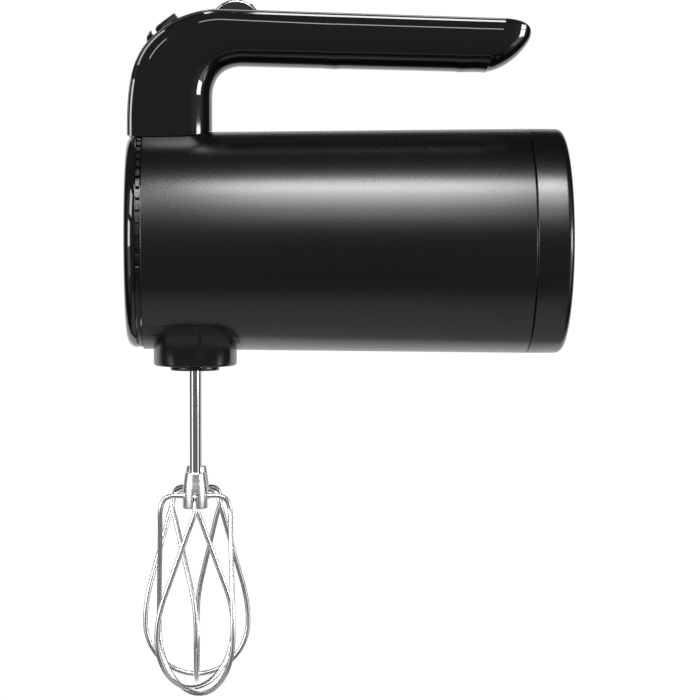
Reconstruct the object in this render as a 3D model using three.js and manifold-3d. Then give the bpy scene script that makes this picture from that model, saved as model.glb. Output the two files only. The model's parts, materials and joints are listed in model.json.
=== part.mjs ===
// A cordless hand mixer with two balloon whisks, in millimetres, +Z up.
// The barrel's axis is the X axis. The flat heel face is at x = 0 and the nose points along -X.
// Left is -Y and right is +Y.

import * as THREE from 'three';
import { mergeVertices } from 'three/addons/utils/BufferGeometryUtils.js';
import Module from 'manifold-3d';

const wasm = await Module();
wasm.setup();

// ---------- driving dimensions ----------

const GAP = 0.3; // between two separate pieces
const TAU = 2 * Math.PI;

// Barrel casing
const BODY_LENGTH = 195;
const HEEL_RADIUS = 50.5;
const NOSE_RADIUS = 48.4;
const SHELL_WALL = 2.5;
const REAR_CAP_LENGTH = 16.2;
const REAR_EDGE_RADIUS = 3;
const FRONT_CAP_LENGTH = 4.9;
const FRONT_EDGE_RADIUS = 2.5;
const VENT_RING_WIDTH = 2.2;
const VENT_DEPTH = 1.4;
const VENT_PITCH_DEG = 6.6;
const VENT_REACH_DEG = 111; // each side of straight up
const SPIGOT_LENGTH = 4;
const RIM_SIDES = 36;

// Handle
const FINGER_GAP = 29.6; // between the barrel and the grip's underside
const GRIP_DEPTH = 24.7;
const GRIP_TOP_FALL = 3.5;
const GRIP_UNDER_FALL = 2.1;
const HANDLE_WIDTH = 32;
const HANDLE_EDGE = 6;
const HANDLE_WALL = 2.4;
const COVER_THICKNESS = 2.2;
const COLUMN_DEPTH = 38;
const COLUMN_INSET = 0.1; // behind the nose face
const BEND_LENGTH = 40.2;
const BEND_FOOT = 2.4; // above the barrel
const CREST_SETBACK = 18.5; // of the bend's middle, from the front of the column
const CREST_DROP = 6.6;
const CREST_SLOPE = 0.72;
const TIP_SETBACK = 14.2;
const TIP_LENGTH = 14.1;
const TIP_DROP = 7.2; // of its end, below the rear of the grip's top
const TIP_UNDER_LENGTH = 22.8;
const INNER_CORNER_LENGTH = 13.7; // of the curve between the column and the grip
const INNER_CORNER_DROP = 14.3;

// Controls
const WHEEL_RADIUS = 11.8;
const WHEEL_WIDTH = 13;
const WHEEL_PROUD = 4.5;
const WHEEL_SETBACK = 8.4; // behind the start of the grip
const WHEEL_AXLE_RADIUS = 2;
const WHEEL_EDGE = 1.2;
const WHEEL_RIM = 2.6; // outside the bright ring's groove
const TRIM_WIDTH = 1.6;
const TRIM_DEPTH = 0.7;
const TRIM_PROUD = 0.1;
const EJECT_LENGTH = 11.2;
const EJECT_TRAVEL = 6;
const TURBO_LENGTH = 4.2;
const TURBO_TRAVEL = 1.5;
const BUTTON_WIDTH = 17;
const BUTTON_PROUD = 2.5;
const EJECT_DEPTH = 5; // below the handle's surface
const TURBO_DEPTH = 3;
const EJECT_SETBACK = 17.8; // from the front of the column
const TURBO_SETBACK = 10.4;
const EJECT_ROD_RADIUS = 3;
const ROD_SETBACK = 23.7; // from the front of the column, as the front screw's
const FRONT_SCREW_SETBACK = 15.8;
const REAR_SCREW_INSET = 5.6;
const SCREW_RADIUS = 1.5;

// Chin cover and gearbox
const SPINDLE_SETBACK = 30.3; // from the nose face to the whisks' axes
const WHISK_SPACING = 36;
const BOSS_LENGTH = 37;
const BOSS_WIDTH = 60;
const BOSS_CORNER_LENGTH = 11;
const BOSS_CORNER_WIDTH = 24;
const BOSS_DROP = 6.8; // below the underside of the barrel
const CHIN_RISE = 11.2; // of its side seam, above the underside of the nose
const CHIN_CURVE_LENGTH = 18.7;
const SPINDLE_RADIUS = 6;
const SPINDLE_NECK_RADIUS = 4.2;
const BUSH_WALL = 2.4;
const COLLAR_RADIUS = 10.8;
const COLLAR_HEIGHT = 1.8;
const WORM_PITCH_RADIUS = 4.5;
const WORM_STARTS = 2;
const WHEEL_TEETH = 20;
const WORM_WHEEL_WIDTH = 7;
const FRAME_PLATE = 3;
const FRAME_HEIGHT = 17; // above the axis
const SPINDLE_RISE = 4; // of a spindle above the frame

// Motor and fan
const MOTOR_RADIUS = 23;
const MOTOR_LENGTH = 44;
const MOTOR_WALL = 1.4;
const MOTOR_SCREW_REACH = 11; // from the motor's axis
const MAGNET_THICKNESS = 3;
const MAGNET_SPAN_DEG = 130;
const ROTOR_SLOTS = 8;
const SHAFT_RADIUS = 2;
const FAN_WIDTH = 6;
const FAN_BLADES = 9;
const FAN_CLEARANCE = 2;

// Battery
const CELL_RADIUS = 9.2;
const CELL_PITCH_GAP = 1.2; // between two cells
const CELL_CLEARANCE = 5; // behind the fan
const HOLDER_THICKNESS = 7;
const BOARD_THICKNESS = 1.6;
const INLET_WIDTH = 12;
const INLET_HEIGHT = 8;
const INLET_DROP = 26; // below the axis

// Whisks
const SHAFT_DIAMETER = 4.8;
const SOCKET_DEPTH = 30;
const WING_REACH = 4.3; // of the two flat wings that the spindle turns
const WING_THICKNESS = 2;
const SHAFT_SEAT = 11.5; // of the shaft, inside its hub
const HUB_DROP = 45.3; // from the collars to the top of the hubs
const HUB_HEIGHT = 15.9;
const HUB_RADIUS = 5.6;
const HUB_NECK_RADIUS = 4.6;
const WIRE_DIAMETER = 2.2;
const WIRE_PORT_DROP = 10.5; // from the top of the hub
const WIRE_END_RADIUS = 3.9; // where a wire starts inside the hub
const WIRE_SHOULDER_RADIUS = 15.4;
const WIRE_SHOULDER_DROP = 6.2;
const BULGE_RADIUS = 23.5;
const BULGE_DROP = 58.5; // from the wire ports
const BOWL_DEPTH = 29.4;
const WIRE_CORNER = 5; // the bend between a wire's level top and its side
const WIRE_STRAIGHT_SHARE = 0.6; // of the way down to the bulge, before a wire starts to ease round
const LOOP_STEP = 2.7; // between the two crossing loops at the bottom
const WIRE_TWIST_DEG = 45;

// ---------- sizes worked out from them ----------

const noseX = -BODY_LENGTH;
const ventFrontX = noseX + FRONT_CAP_LENGTH;
const barrelFrontX = ventFrontX + VENT_RING_WIDTH;
const barrelRearX = -REAR_CAP_LENGTH;
const spigotRadius = NOSE_RADIUS - SHELL_WALL - GAP;

/** The barrel's outer radius at a place along the axis. */
function barrelRadius(x) {
  const along = (x - barrelFrontX) / (barrelRearX - barrelFrontX);
  return NOSE_RADIUS + (HEEL_RADIUS - NOSE_RADIUS) * along;
}

/** The radius that is free inside the barrel, with the clearance taken off. */
function roomRadius(x) {
  return barrelRadius(x) - SHELL_WALL - GAP;
}

const spindleX = noseX + SPINDLE_SETBACK;
const spindleY = WHISK_SPACING / 2;
const bossRadius = barrelRadius(spindleX);
const bossBottomZ = -bossRadius - BOSS_DROP;
const socketZ = bossBottomZ - COLLAR_HEIGHT;

const wheelPitchRadius = spindleY - WORM_PITCH_RADIUS;
const gearModule = (2 * wheelPitchRadius) / WHEEL_TEETH;
const wormLead = WORM_STARTS * Math.PI * gearModule;
const wormReach = wheelPitchRadius * 0.8;

const bushRadius = SPINDLE_RADIUS + GAP + BUSH_WALL;
const frameHalfWidth = spindleY + bushRadius + FRAME_PLATE;
const wheelTipRadius = wheelPitchRadius + gearModule * 0.75;
const frameFrontX = spindleX - wheelTipRadius - GAP - FRAME_PLATE;
const frameRearX = spindleX + wheelTipRadius + GAP + FRAME_PLATE;
const frameBottomZ = -Math.sqrt(roomRadius(frameFrontX) ** 2 - frameHalfWidth ** 2);
const frameTopZ = FRAME_HEIGHT;

const motorFrontX = frameRearX + GAP;
const motorRearX = motorFrontX + MOTOR_LENGTH;
const fanFrontX = motorRearX + FAN_CLEARANCE;
const fanRearX = fanFrontX + FAN_WIDTH;
const cellFrontX = fanRearX + CELL_CLEARANCE;
const cellRearX = barrelRearX - 3.5;
const boardX = cellRearX + 1.5;

const columnFrontX = noseX + COLUMN_INSET;
const columnRearX = columnFrontX + COLUMN_DEPTH;
const gripUnderZ = NOSE_RADIUS + FINGER_GAP;
const gripTopZ = gripUnderZ + GRIP_DEPTH;
const gripStartX = columnFrontX + BEND_LENGTH;
const tipX = -TIP_SETBACK;
const tipStartX = tipX - TIP_LENGTH;
const hollowHalfWidth = HANDLE_WIDTH / 2 - HANDLE_WALL - 2;
const wheelX = gripStartX + WHEEL_SETBACK;
const wheelZ = gripTopZ + WHEEL_PROUD - WHEEL_RADIUS;
const rodX = columnFrontX + ROD_SETBACK;
const screwPlaces = [columnFrontX + FRONT_SCREW_SETBACK, columnRearX - REAR_SCREW_INSET];

// ---------- materials ----------

/** A material of one colour, roughness and metalness. */
function finish(color, roughness, metalness) {
  return new THREE.MeshStandardMaterial({ color, roughness, metalness });
}

const satinBlack = finish(0x17171a, 0.45, 0.1);
const glossBlack = finish(0x060607, 0.12, 0);
const softBlack = finish(0x0d0d0e, 0.3, 0);
const polishedSteel = finish(0xc9cacc, 0.12, 1);
const plainSteel = finish(0x8d9094, 0.35, 1);
const sinteredBronze = finish(0xa87a48, 0.5, 1);
const naturalNylon = finish(0xe6e2d6, 0.55, 0);
const greyNylon = finish(0x6d7074, 0.55, 0);
const ferrite = finish(0x2b2c2e, 0.7, 0);
const copper = finish(0xb5652f, 0.35, 1);
const boardGreen = finish(0x1d5a38, 0.5, 0);
const cellSleeve = finish(0x2c6fb0, 0.4, 0);

// ---------- solids ----------

/** A closed geometry as a solid, with its doubled corners merged and its faces turned outwards. */
function toSolid(geometry) {
  const bare = geometry.clone();
  bare.deleteAttribute('normal');
  bare.deleteAttribute('uv');
  const merged = mergeVertices(bare, 1e-4);
  const place = merged.attributes.position;
  const corners = [];
  let volume = 0;
  const a = new THREE.Vector3();
  const b = new THREE.Vector3();
  const c = new THREE.Vector3();
  for (let i = 0; i < merged.index.count; i += 3) {
    const [p, q, r] = [0, 1, 2].map((k) => merged.index.getX(i + k));
    if (p === q || q === r || r === p) continue;
    corners.push([p, q, r]);
    a.fromBufferAttribute(place, p);
    b.fromBufferAttribute(place, q);
    c.fromBufferAttribute(place, r);
    volume += a.dot(b.cross(c));
  }
  const facing = volume < 0 ? corners.map(([p, q, r]) => [p, r, q]) : corners;
  const triVerts = Uint32Array.from(facing.flat());
  const vertProperties = Float32Array.from(place.array);
  return new wasm.Manifold(new wasm.Mesh({ numProp: 3, vertProperties, triVerts }));
}

/** Adds a solid to a group as a named mesh. */
function piece(name, solid, material, parent) {
  const { vertProperties, triVerts } = solid.simplify(0.01).getMesh();
  const geometry = new THREE.BufferGeometry();
  geometry.setAttribute('position', new THREE.BufferAttribute(vertProperties, 3));
  geometry.setIndex(new THREE.BufferAttribute(triVerts, 1));
  geometry.computeVertexNormals();
  const mesh = new THREE.Mesh(geometry, material);
  mesh.name = name;
  parent.add(mesh);
  return mesh;
}

function group(name, x, y, z, parent) {
  const made = new THREE.Group();
  made.name = name;
  made.position.set(x, y, z);
  parent.add(made);
  return made;
}

function joinAll(solids) {
  return solids.reduce((whole, next) => whole.add(next));
}

/** A block between two opposite corners. */
function block([x0, y0, z0], [x1, y1, z1]) {
  const box = new THREE.BoxGeometry(x1 - x0, y1 - y0, z1 - z0);
  return toSolid(box.translate((x0 + x1) / 2, (y0 + y1) / 2, (z0 + z1) / 2));
}

/** A solid turned about the Z axis from points of (radius, z), which close on the axis or on themselves. */
function turnedZ(profile, sides) {
  const points = profile.map(([radius, z]) => new THREE.Vector2(radius, z));
  return toSolid(new THREE.LatheGeometry(points, sides).rotateX(Math.PI / 2));
}

/** A solid turned about the X axis from points of (x, radius). */
function turnedX(profile, sides = RIM_SIDES) {
  const points = profile.map(([x, radius]) => new THREE.Vector2(radius, x));
  return toSolid(new THREE.LatheGeometry(points, sides).rotateZ(-Math.PI / 2));
}

/** A solid turned about a line along Y from points of (y, radius). */
function turnedY(profile, sides) {
  const points = profile.map(([y, radius]) => new THREE.Vector2(radius, y));
  return toSolid(new THREE.LatheGeometry(points, sides));
}

function rodZ(radius, z0, z1, sides = 16) {
  return turnedZ([[0, z0], [radius, z0], [radius, z1], [0, z1]], sides);
}

function barX(radius, x0, x1, sides = 16) {
  return turnedX([[x0, 0], [x0, radius], [x1, radius], [x1, 0]], sides);
}

function tubeX(outer, inner, x0, x1, sides = 16) {
  return turnedX([[x0, inner], [x0, outer], [x1, outer], [x1, inner], [x0, inner]], sides);
}

/** An arc as a list of points, for turned profiles. */
function arc(cx, cy, radius, fromDeg, toDeg, steps = 3) {
  return Array.from({ length: steps + 1 }, (_, i) => {
    const turn = THREE.MathUtils.degToRad(fromDeg + ((toDeg - fromDeg) * i) / steps);
    return [cx + radius * Math.cos(turn), cy + radius * Math.sin(turn)];
  });
}

function outline(points) {
  return new THREE.Shape(points.map(([u, v]) => new THREE.Vector2(u, v)));
}

/** A circle as a closed list of points, for a shape or one of its holes. */
function ring(radius, sides, cx = 0, cy = 0) {
  return Array.from({ length: sides }, (_, i) => {
    const turn = (TAU * i) / sides;
    return [cx + radius * Math.cos(turn), cy + radius * Math.sin(turn)];
  });
}

/** A shape drawn in (y, z), extruded along X. */
function extrudedX(shape, x0, x1, options = {}) {
  const made = new THREE.ExtrudeGeometry(shape, { depth: x1 - x0, bevelEnabled: false, ...options });
  made.applyMatrix4(new THREE.Matrix4().set(0, 0, 1, x0, 1, 0, 0, 0, 0, 1, 0, 0, 0, 0, 0, 1));
  return toSolid(made);
}

/** A shape drawn in (x, z), extruded along Y between two places, with rounded edges if asked. */
function extrudedY(shape, y0, y1, edge = 0, inset = edge) {
  const bevel = { bevelThickness: edge, bevelSize: inset, bevelOffset: -inset, bevelSegments: 3 };
  const options = edge ? { bevelEnabled: true, ...bevel } : { bevelEnabled: false };
  const made = new THREE.ExtrudeGeometry(shape, { depth: y1 - y0 - 2 * edge, ...options });
  made.applyMatrix4(new THREE.Matrix4().set(1, 0, 0, 0, 0, 0, -1, y1 - edge, 0, 1, 0, 0, 0, 0, 0, 1));
  return toSolid(made);
}

/** A shape drawn in (x, y), extruded along Z. */
function extrudedZ(shape, z0, z1, options = {}) {
  const made = new THREE.ExtrudeGeometry(shape, { depth: z1 - z0, bevelEnabled: false, ...options });
  return toSolid(made.translate(0, 0, z0));
}

/** An extrusion along Z that turns as it rises, by the given angle for each millimetre. */
function twistedZ(shape, z0, z1, steps, turnPerMm) {
  const made = new THREE.ExtrudeGeometry(shape, { depth: z1 - z0, bevelEnabled: false, steps });
  made.translate(0, 0, z0);
  const place = made.attributes.position;
  const axis = new THREE.Vector3(0, 0, 1);
  const point = new THREE.Vector3();
  for (let i = 0; i < place.count; i += 1) {
    point.fromBufferAttribute(place, i).applyAxisAngle(axis, turnPerMm * place.getZ(i));
    place.setXYZ(i, point.x, point.y, point.z);
  }
  return toSolid(made);
}

/** A round wire along a curve. */
function wire(curve, radius, steps, sides = 8) {
  const section = outline(ring(radius, sides));
  return toSolid(new THREE.ExtrudeGeometry(section, { steps, bevelEnabled: false, extrudePath: curve }));
}

// ---------- barrel casing ----------

/** The side outline of the chin cover below its seam, grown outwards by a clearance. */
function chinRegion(grow) {
  const front = barrelFrontX - 5;
  const curveFrontX = spindleX + 2.2;
  const seamZ = CHIN_RISE - NOSE_RADIUS + grow;
  const bottomZ = -bossRadius;
  const curve = Array.from({ length: 9 }, (_, i) => {
    const turn = (Math.PI / 2) * (i / 8);
    const x = curveFrontX + (CHIN_CURVE_LENGTH + grow) * Math.sin(turn);
    return [x, bottomZ + (seamZ - bottomZ) * Math.cos(turn)];
  });
  const deep = bottomZ - 5;
  const points = [[front, seamZ], ...curve, [curve[8][0], deep], [front, deep]];
  return extrudedY(outline(points), -bossRadius, bossRadius);
}

/** The barrel's cone as a solid, thicker or thinner by a distance. */
function cone(grow, x0 = barrelFrontX, x1 = barrelRearX) {
  const profile = [[x0, 0], [x0, barrelRadius(x0) + grow], [x1, barrelRadius(x1) + grow], [x1, 0]];
  return turnedX(profile);
}

function barrelShell() {
  const x0 = barrelFrontX + GAP / 2;
  const x1 = barrelRearX - GAP / 2;
  const wall = cone(0, x0, x1).subtract(cone(-SHELL_WALL, x0 - 1, x1 + 1));
  const rodHole = rodZ(EJECT_ROD_RADIUS + 1.5, 0, bossRadius + 5).translate(rodX, 0, 0);
  const screwHoles = screwPlaces.map((x) =>
    rodZ(SCREW_RADIUS + 2 * GAP, 0, bossRadius + 5, 12).translate(x, 0, 0));
  return wall.subtract(chinRegion(GAP)).subtract(joinAll([rodHole, ...screwHoles]));
}

function rearCap() {
  const r = HEEL_RADIUS;
  const e = REAR_EDGE_RADIUS;
  const inner = r - SHELL_WALL;
  const spigot = barrelRadius(barrelRearX) - SHELL_WALL - GAP;
  const x0 = barrelRearX + GAP / 2;
  const profile = [
    [0, 0], ...arc(-e, r - e, e, 0, 90), [x0, r], [x0, spigot],
    [x0 - 3, spigot], [x0 - 3, spigot - 2], [x0, spigot - 2], [x0 + 3, inner - 2], [-SHELL_WALL, inner - 2],
    [-SHELL_WALL, 0],
  ];
  const wide = INLET_WIDTH / 2;
  const inlet = block([-SHELL_WALL - 1, -wide, -INLET_DROP - INLET_HEIGHT], [1, wide, -INLET_DROP]);
  return turnedX(profile).subtract(inlet);
}

function frontCap() {
  const r = NOSE_RADIUS - 0.6;
  const e = FRONT_EDGE_RADIUS;
  const x1 = ventFrontX - GAP / 2;
  const end = barrelFrontX + SPIGOT_LENGTH;
  const profile = [
    [noseX, 0], ...arc(noseX + e, r - e, e, 180, 90), [x1, r], [x1, spigotRadius], [end, spigotRadius],
    [end, spigotRadius - 2], [noseX + SHELL_WALL, spigotRadius - 2], [noseX + SHELL_WALL, 0],
  ];
  const wide = frameHalfWidth + GAP;
  const notch = block([x1, -wide, -bossRadius], [end + 1, wide, frameBottomZ + FRAME_PLATE + GAP]);
  return turnedX(profile).subtract(notch);
}

/** A toothed ring: slots run down both sides of it, and its underside is plain. */
function ventRing() {
  const outer = NOSE_RADIUS - 0.5;
  const root = outer - VENT_DEPTH;
  const plain = outer - 0.5;
  const slots = Math.floor(VENT_REACH_DEG / VENT_PITCH_DEG);
  const half = THREE.MathUtils.degToRad(VENT_PITCH_DEG / 4);
  const at = (radius, turn) => [radius * Math.sin(turn), radius * Math.cos(turn)];
  const points = [];
  for (let i = -slots; i <= slots; i += 1) {
    const turn = THREE.MathUtils.degToRad(VENT_PITCH_DEG * i);
    points.push(at(outer, turn - half), at(outer, turn + half));
    points.push(at(root, turn + half), at(root, turn + 3 * half));
  }
  const from = THREE.MathUtils.degToRad(VENT_PITCH_DEG * (slots + 1));
  for (let i = 0; i <= 16; i += 1) points.push(at(plain, from + ((TAU - 2 * from) * i) / 16));
  const shape = outline(points);
  const bore = ring(spigotRadius + GAP, RIM_SIDES).map(([u, v]) => new THREE.Vector2(u, v));
  shape.holes.push(new THREE.Path(bore));
  return extrudedX(shape, ventFrontX + GAP / 2, barrelFrontX - GAP / 2);
}

/** The plan of the boss under the chin: a flat front, with long elliptical corners. */
function bossPlan(inset) {
  const cornerX = BOSS_CORNER_LENGTH - inset;
  const cornerY = BOSS_CORNER_WIDTH - inset;
  const points = [];
  for (const quarter of [0, 1, 2, 3]) {
    const wayX = quarter === 0 || quarter === 3 ? 1 : -1;
    const wayY = quarter < 2 ? 1 : -1;
    const middleX = wayX * (BOSS_LENGTH / 2 - BOSS_CORNER_LENGTH);
    const middleY = wayY * (BOSS_WIDTH / 2 - BOSS_CORNER_WIDTH);
    for (let i = 0; i <= 6; i += 1) {
      const turn = (TAU / 4) * (quarter + i / 6);
      points.push([middleX + cornerX * Math.cos(turn), middleY + cornerY * Math.sin(turn)]);
    }
  }
  return outline(points);
}

function chinCover() {
  const x0 = barrelFrontX + GAP / 2;
  const bevel = { bevelEnabled: true, bevelThickness: 1, bevelSize: 1, bevelOffset: -1, bevelSegments: 2 };
  const boss = extrudedZ(bossPlan(0), bossBottomZ + 1, -10, bevel).translate(spindleX, 0, 0);
  const below = block([noseX, -bossRadius, -2 * bossRadius], [0, bossRadius, -bossRadius * 0.6]);
  const pocket = extrudedZ(bossPlan(SHELL_WALL), bossBottomZ + SHELL_WALL, 0).translate(spindleX, 0, 0);
  const inside = cone(-SHELL_WALL, x0 - 10, barrelRearX);
  const wall = cone(0, x0, barrelRearX).intersect(chinRegion(0)).subtract(inside);
  const skirt = boss.intersect(below).subtract(cone(GAP, x0 - 10));
  const neck = boss.intersect(chinRegion(0)).intersect(cone(2 * GAP, x0)).subtract(inside);
  const holes = [-spindleY, spindleY].map((y) =>
    rodZ(SPINDLE_RADIUS + 2 * GAP, bossBottomZ - 2, 0).translate(spindleX, y, 0));
  return joinAll([wall, skirt, neck]).subtract(joinAll([pocket, ...holes]));
}

// ---------- gearbox ----------

function gearFrame() {
  const w = frameHalfWidth;
  const t = FRAME_PLATE;
  const [x0, x1, z0, z1] = [frameFrontX, frameRearX, frameBottomZ, frameTopZ];
  const plates = [
    block([x0, -w, z0], [x1, w, z0 + t]),
    block([x0, -w, z1 - t], [x1, w, z1]),
    block([x0, -w * 0.45, z0], [x0 + t, w * 0.45, z1]),
    block([x1 - t, -w, z0], [x1, w, z1]),
  ];
  const bores = [-spindleY, spindleY].map((y) =>
    rodZ(bushRadius + GAP, z0 - 1, z1 + 1).translate(spindleX, y, 0));
  const wormHole = barX(SHAFT_RADIUS + 3 + GAP, x0 - 1, x1 + 1);
  const screws = [-MOTOR_SCREW_REACH, MOTOR_SCREW_REACH].map((z) =>
    barX(SCREW_RADIUS + GAP, x1 - t - 1, x1 + 1, 12).translate(0, 0, z));
  return joinAll(plates).subtract(joinAll([...bores, wormHole, ...screws]));
}

/** A flanged bush round a spindle, in one of the frame's plates. */
function spindleBush(bore, plateZ, up) {
  const flange = bushRadius + 1.5;
  const face = up ? plateZ + FRAME_PLATE + GAP : plateZ - GAP;
  const away = up ? 1 : -1;
  const neck = face - away * (FRAME_PLATE + 2 * GAP + 1);
  const profile = [
    [bore + GAP, neck], [bushRadius, neck], [bushRadius, face], [flange, face], [flange, face + away * 1.5],
    [bore + GAP, face + away * 1.5], [bore + GAP, neck],
  ];
  return turnedZ(profile, 16);
}

/** The two-start screw that the rotor's shaft carries. */
function worm() {
  const addendum = gearModule * 0.8;
  const [root, tip] = [WORM_PITCH_RADIUS - gearModule * 1.1, WORM_PITCH_RADIUS + addendum];
  const points = [];
  for (let start = 0; start < WORM_STARTS; start += 1) {
    const thread = (TAU * start) / WORM_STARTS;
    const corners = [[-50, root], [-12, tip], [12, tip], [50, root]];
    corners.forEach(([deg, radius]) => {
      const turn = thread + THREE.MathUtils.degToRad(deg);
      points.push([radius * Math.cos(turn), radius * Math.sin(turn)]);
    });
  }
  const length = 2 * wormReach;
  const steps = Math.round((length / wormLead) * 10);
  const screw = twistedZ(outline(points), -length / 2, length / 2, steps, TAU / wormLead);
  const bored = screw.subtract(rodZ(SHAFT_RADIUS + GAP, -length, length, 8));
  return bored.rotate([0, 90, 0]).translate(spindleX, 0, 0);
}

/** A wheel that the worm turns, with teeth slanted to the worm's lead. */
function wormWheel() {
  const [root, tip] = [wheelPitchRadius - gearModule * 1.15, wheelTipRadius];
  const pitch = TAU / WHEEL_TEETH;
  const points = [];
  for (let tooth = 0; tooth < WHEEL_TEETH; tooth += 1) {
    const corners = [[-0.34, root], [-0.09, tip], [0.09, tip], [0.34, root]];
    corners.forEach(([share, radius]) => {
      const turn = pitch * (tooth + share);
      points.push([radius * Math.cos(turn), radius * Math.sin(turn)]);
    });
  }
  const half = WORM_WHEEL_WIDTH / 2;
  const slant = wormLead / (TAU * WORM_PITCH_RADIUS) / wheelPitchRadius;
  const blank = twistedZ(outline(points), -half, half, 2, slant);
  return blank.subtract(rodZ(SPINDLE_NECK_RADIUS + GAP, -half - 1, half + 1));
}

/** The hollow spindle that holds a whisk: wide below its wheel, narrow above, and slotted at its foot. */
function spindle() {
  const bore = SHAFT_DIAMETER / 2 + GAP;
  const shoulderZ = -WORM_WHEEL_WIDTH / 2 - GAP;
  const top = frameTopZ + SPINDLE_RISE;
  const bottom = socketZ + 0.6;
  const body = turnedZ([
    [bore, bottom], [SPINDLE_RADIUS, bottom], [SPINDLE_RADIUS, shoulderZ], [SPINDLE_NECK_RADIUS, shoulderZ],
    [SPINDLE_NECK_RADIUS, top], [bore, top], [bore, bottom],
  ], 16);
  const [long, wide] = [WING_REACH + GAP, WING_THICKNESS / 2 + GAP];
  return body.subtract(block([-long, -wide, bottom - 1], [long, wide, bottom + 10]));
}

function socketCollar() {
  const bore = SPINDLE_RADIUS + GAP;
  const top = bossBottomZ - GAP;
  return turnedZ([
    [bore, socketZ], [COLLAR_RADIUS - 0.6, socketZ], [COLLAR_RADIUS, socketZ + 0.6], [COLLAR_RADIUS, top],
    [bore, top], [bore, socketZ],
  ], 20);
}

/** The plate that pushes both whisks out, with its rod up the column and a pin into each spindle. */
function ejectorFork() {
  const barZ = frameTopZ + SPINDLE_RISE + EJECT_TRAVEL + 2;
  const slope = -ejectSeat.turn;
  const buttonFall = EJECT_DEPTH * Math.cos(slope) + (EJECT_LENGTH / 2) * Math.sin(slope);
  const headZ = ejectSeat.z - buttonFall - 2 * GAP - 1.5;
  const whiskTopZ = socketZ + SOCKET_DEPTH;
  const room = cone(-SHELL_WALL - GAP);
  const bar = block([rodX - 4, -spindleY - 4, barZ], [spindleX + 5, spindleY + 4, barZ + 3]).intersect(room);
  const rod = rodZ(EJECT_ROD_RADIUS, barZ + 1, headZ, 12).translate(rodX, 0, 0);
  const head = block([rodX - 7.5, -6, headZ - 1], [rodX + 5, 6, headZ + 1.5]);
  const pins = [-spindleY, spindleY].map((y) =>
    rodZ(SHAFT_DIAMETER / 2 - GAP, whiskTopZ + EJECT_TRAVEL, barZ + 1, 12).translate(spindleX, y, 0));
  return joinAll([bar, rod, head, ...pins]);
}

/** A coil spring that stands on a plane. */
function coilSpring(radius, wireRadius, z0, z1, turns) {
  const points = Array.from({ length: turns * 8 + 1 }, (_, i) => {
    const turn = (TAU * i) / 8;
    const z = z0 + wireRadius + ((z1 - z0 - 2 * wireRadius) * i) / (turns * 8);
    return new THREE.Vector3(radius * Math.cos(turn), radius * Math.sin(turn), z);
  });
  return wire(new THREE.CatmullRomCurve3(points), wireRadius, turns * 8, 6);
}

// ---------- motor ----------

function motorCan() {
  const [x0, x1] = [motorFrontX, motorRearX];
  const inner = MOTOR_RADIUS - MOTOR_WALL;
  const nose = SHAFT_RADIUS + GAP;
  const profile = [
    [x0, nose], [x0, MOTOR_RADIUS - 2], [x0 + 2, MOTOR_RADIUS], [x1, MOTOR_RADIUS], [x1, inner],
    [x0 + MOTOR_WALL + 1, inner], [x0 + MOTOR_WALL + 1, nose], [x0, nose],
  ];
  const screws = [-MOTOR_SCREW_REACH, MOTOR_SCREW_REACH].map((z) =>
    barX(SCREW_RADIUS + GAP, x0 - 1, x0 + 5, 12).translate(0, 0, z));
  return turnedX(profile, 24).subtract(joinAll(screws));
}

/** A fixing that runs through the frame's rear plate into the front of the motor can. */
function motorScrew(z) {
  const x = frameRearX - FRAME_PLATE - GAP;
  const end = motorFrontX + MOTOR_WALL;
  const profile = [[x - 2, 0], [x - 2, 2.6], [x, 2.6], [x, SCREW_RADIUS], [end, SCREW_RADIUS], [end, 0]];
  return turnedX(profile, 12).translate(0, 0, z);
}

function magnet(side) {
  const outer = MOTOR_RADIUS - MOTOR_WALL - GAP;
  const half = THREE.MathUtils.degToRad(MAGNET_SPAN_DEG / 2);
  const shape = new THREE.Shape();
  shape.absarc(0, 0, outer, Math.PI / 2 - half, Math.PI / 2 + half, false);
  shape.absarc(0, 0, outer - MAGNET_THICKNESS, Math.PI / 2 + half, Math.PI / 2 - half, true);
  const points = shape.getPoints(6).map((p) => [p.x, p.y * side]);
  return extrudedX(outline(points), motorFrontX + 6, motorRearX - 8);
}

/** A laminated core with a slot for each of its windings. */
function rotorCore() {
  const outer = MOTOR_RADIUS - MOTOR_WALL - GAP - MAGNET_THICKNESS - 0.7;
  const pitch = TAU / ROTOR_SLOTS;
  const points = [];
  for (let tooth = 0; tooth < ROTOR_SLOTS; tooth += 1) {
    const corners = [[-0.12, 0.45], [-0.12, 0.85], [-0.42, 0.92], [-0.42, 1], [0, 1], [0.42, 1], [0.42, 0.92],
      [0.12, 0.85], [0.12, 0.45]];
    corners.forEach(([share, reach]) => {
      const turn = pitch * (tooth + share);
      points.push([outer * reach * Math.cos(turn), outer * reach * Math.sin(turn)]);
    });
  }
  const core = extrudedX(outline(points), motorFrontX + 10, motorRearX - 14);
  return core.subtract(barX(SHAFT_RADIUS + GAP, motorFrontX, motorRearX));
}

function windings(x0, x1) {
  const outer = MOTOR_RADIUS - MOTOR_WALL - MAGNET_THICKNESS - 3.5;
  const bore = 4.5;
  const profile = [
    [x0, bore], [x0, outer - 2], [x0 + 1, outer], [x1 - 1, outer], [x1, outer - 2], [x1, bore], [x0, bore],
  ];
  return turnedX(profile, 16);
}

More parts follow.
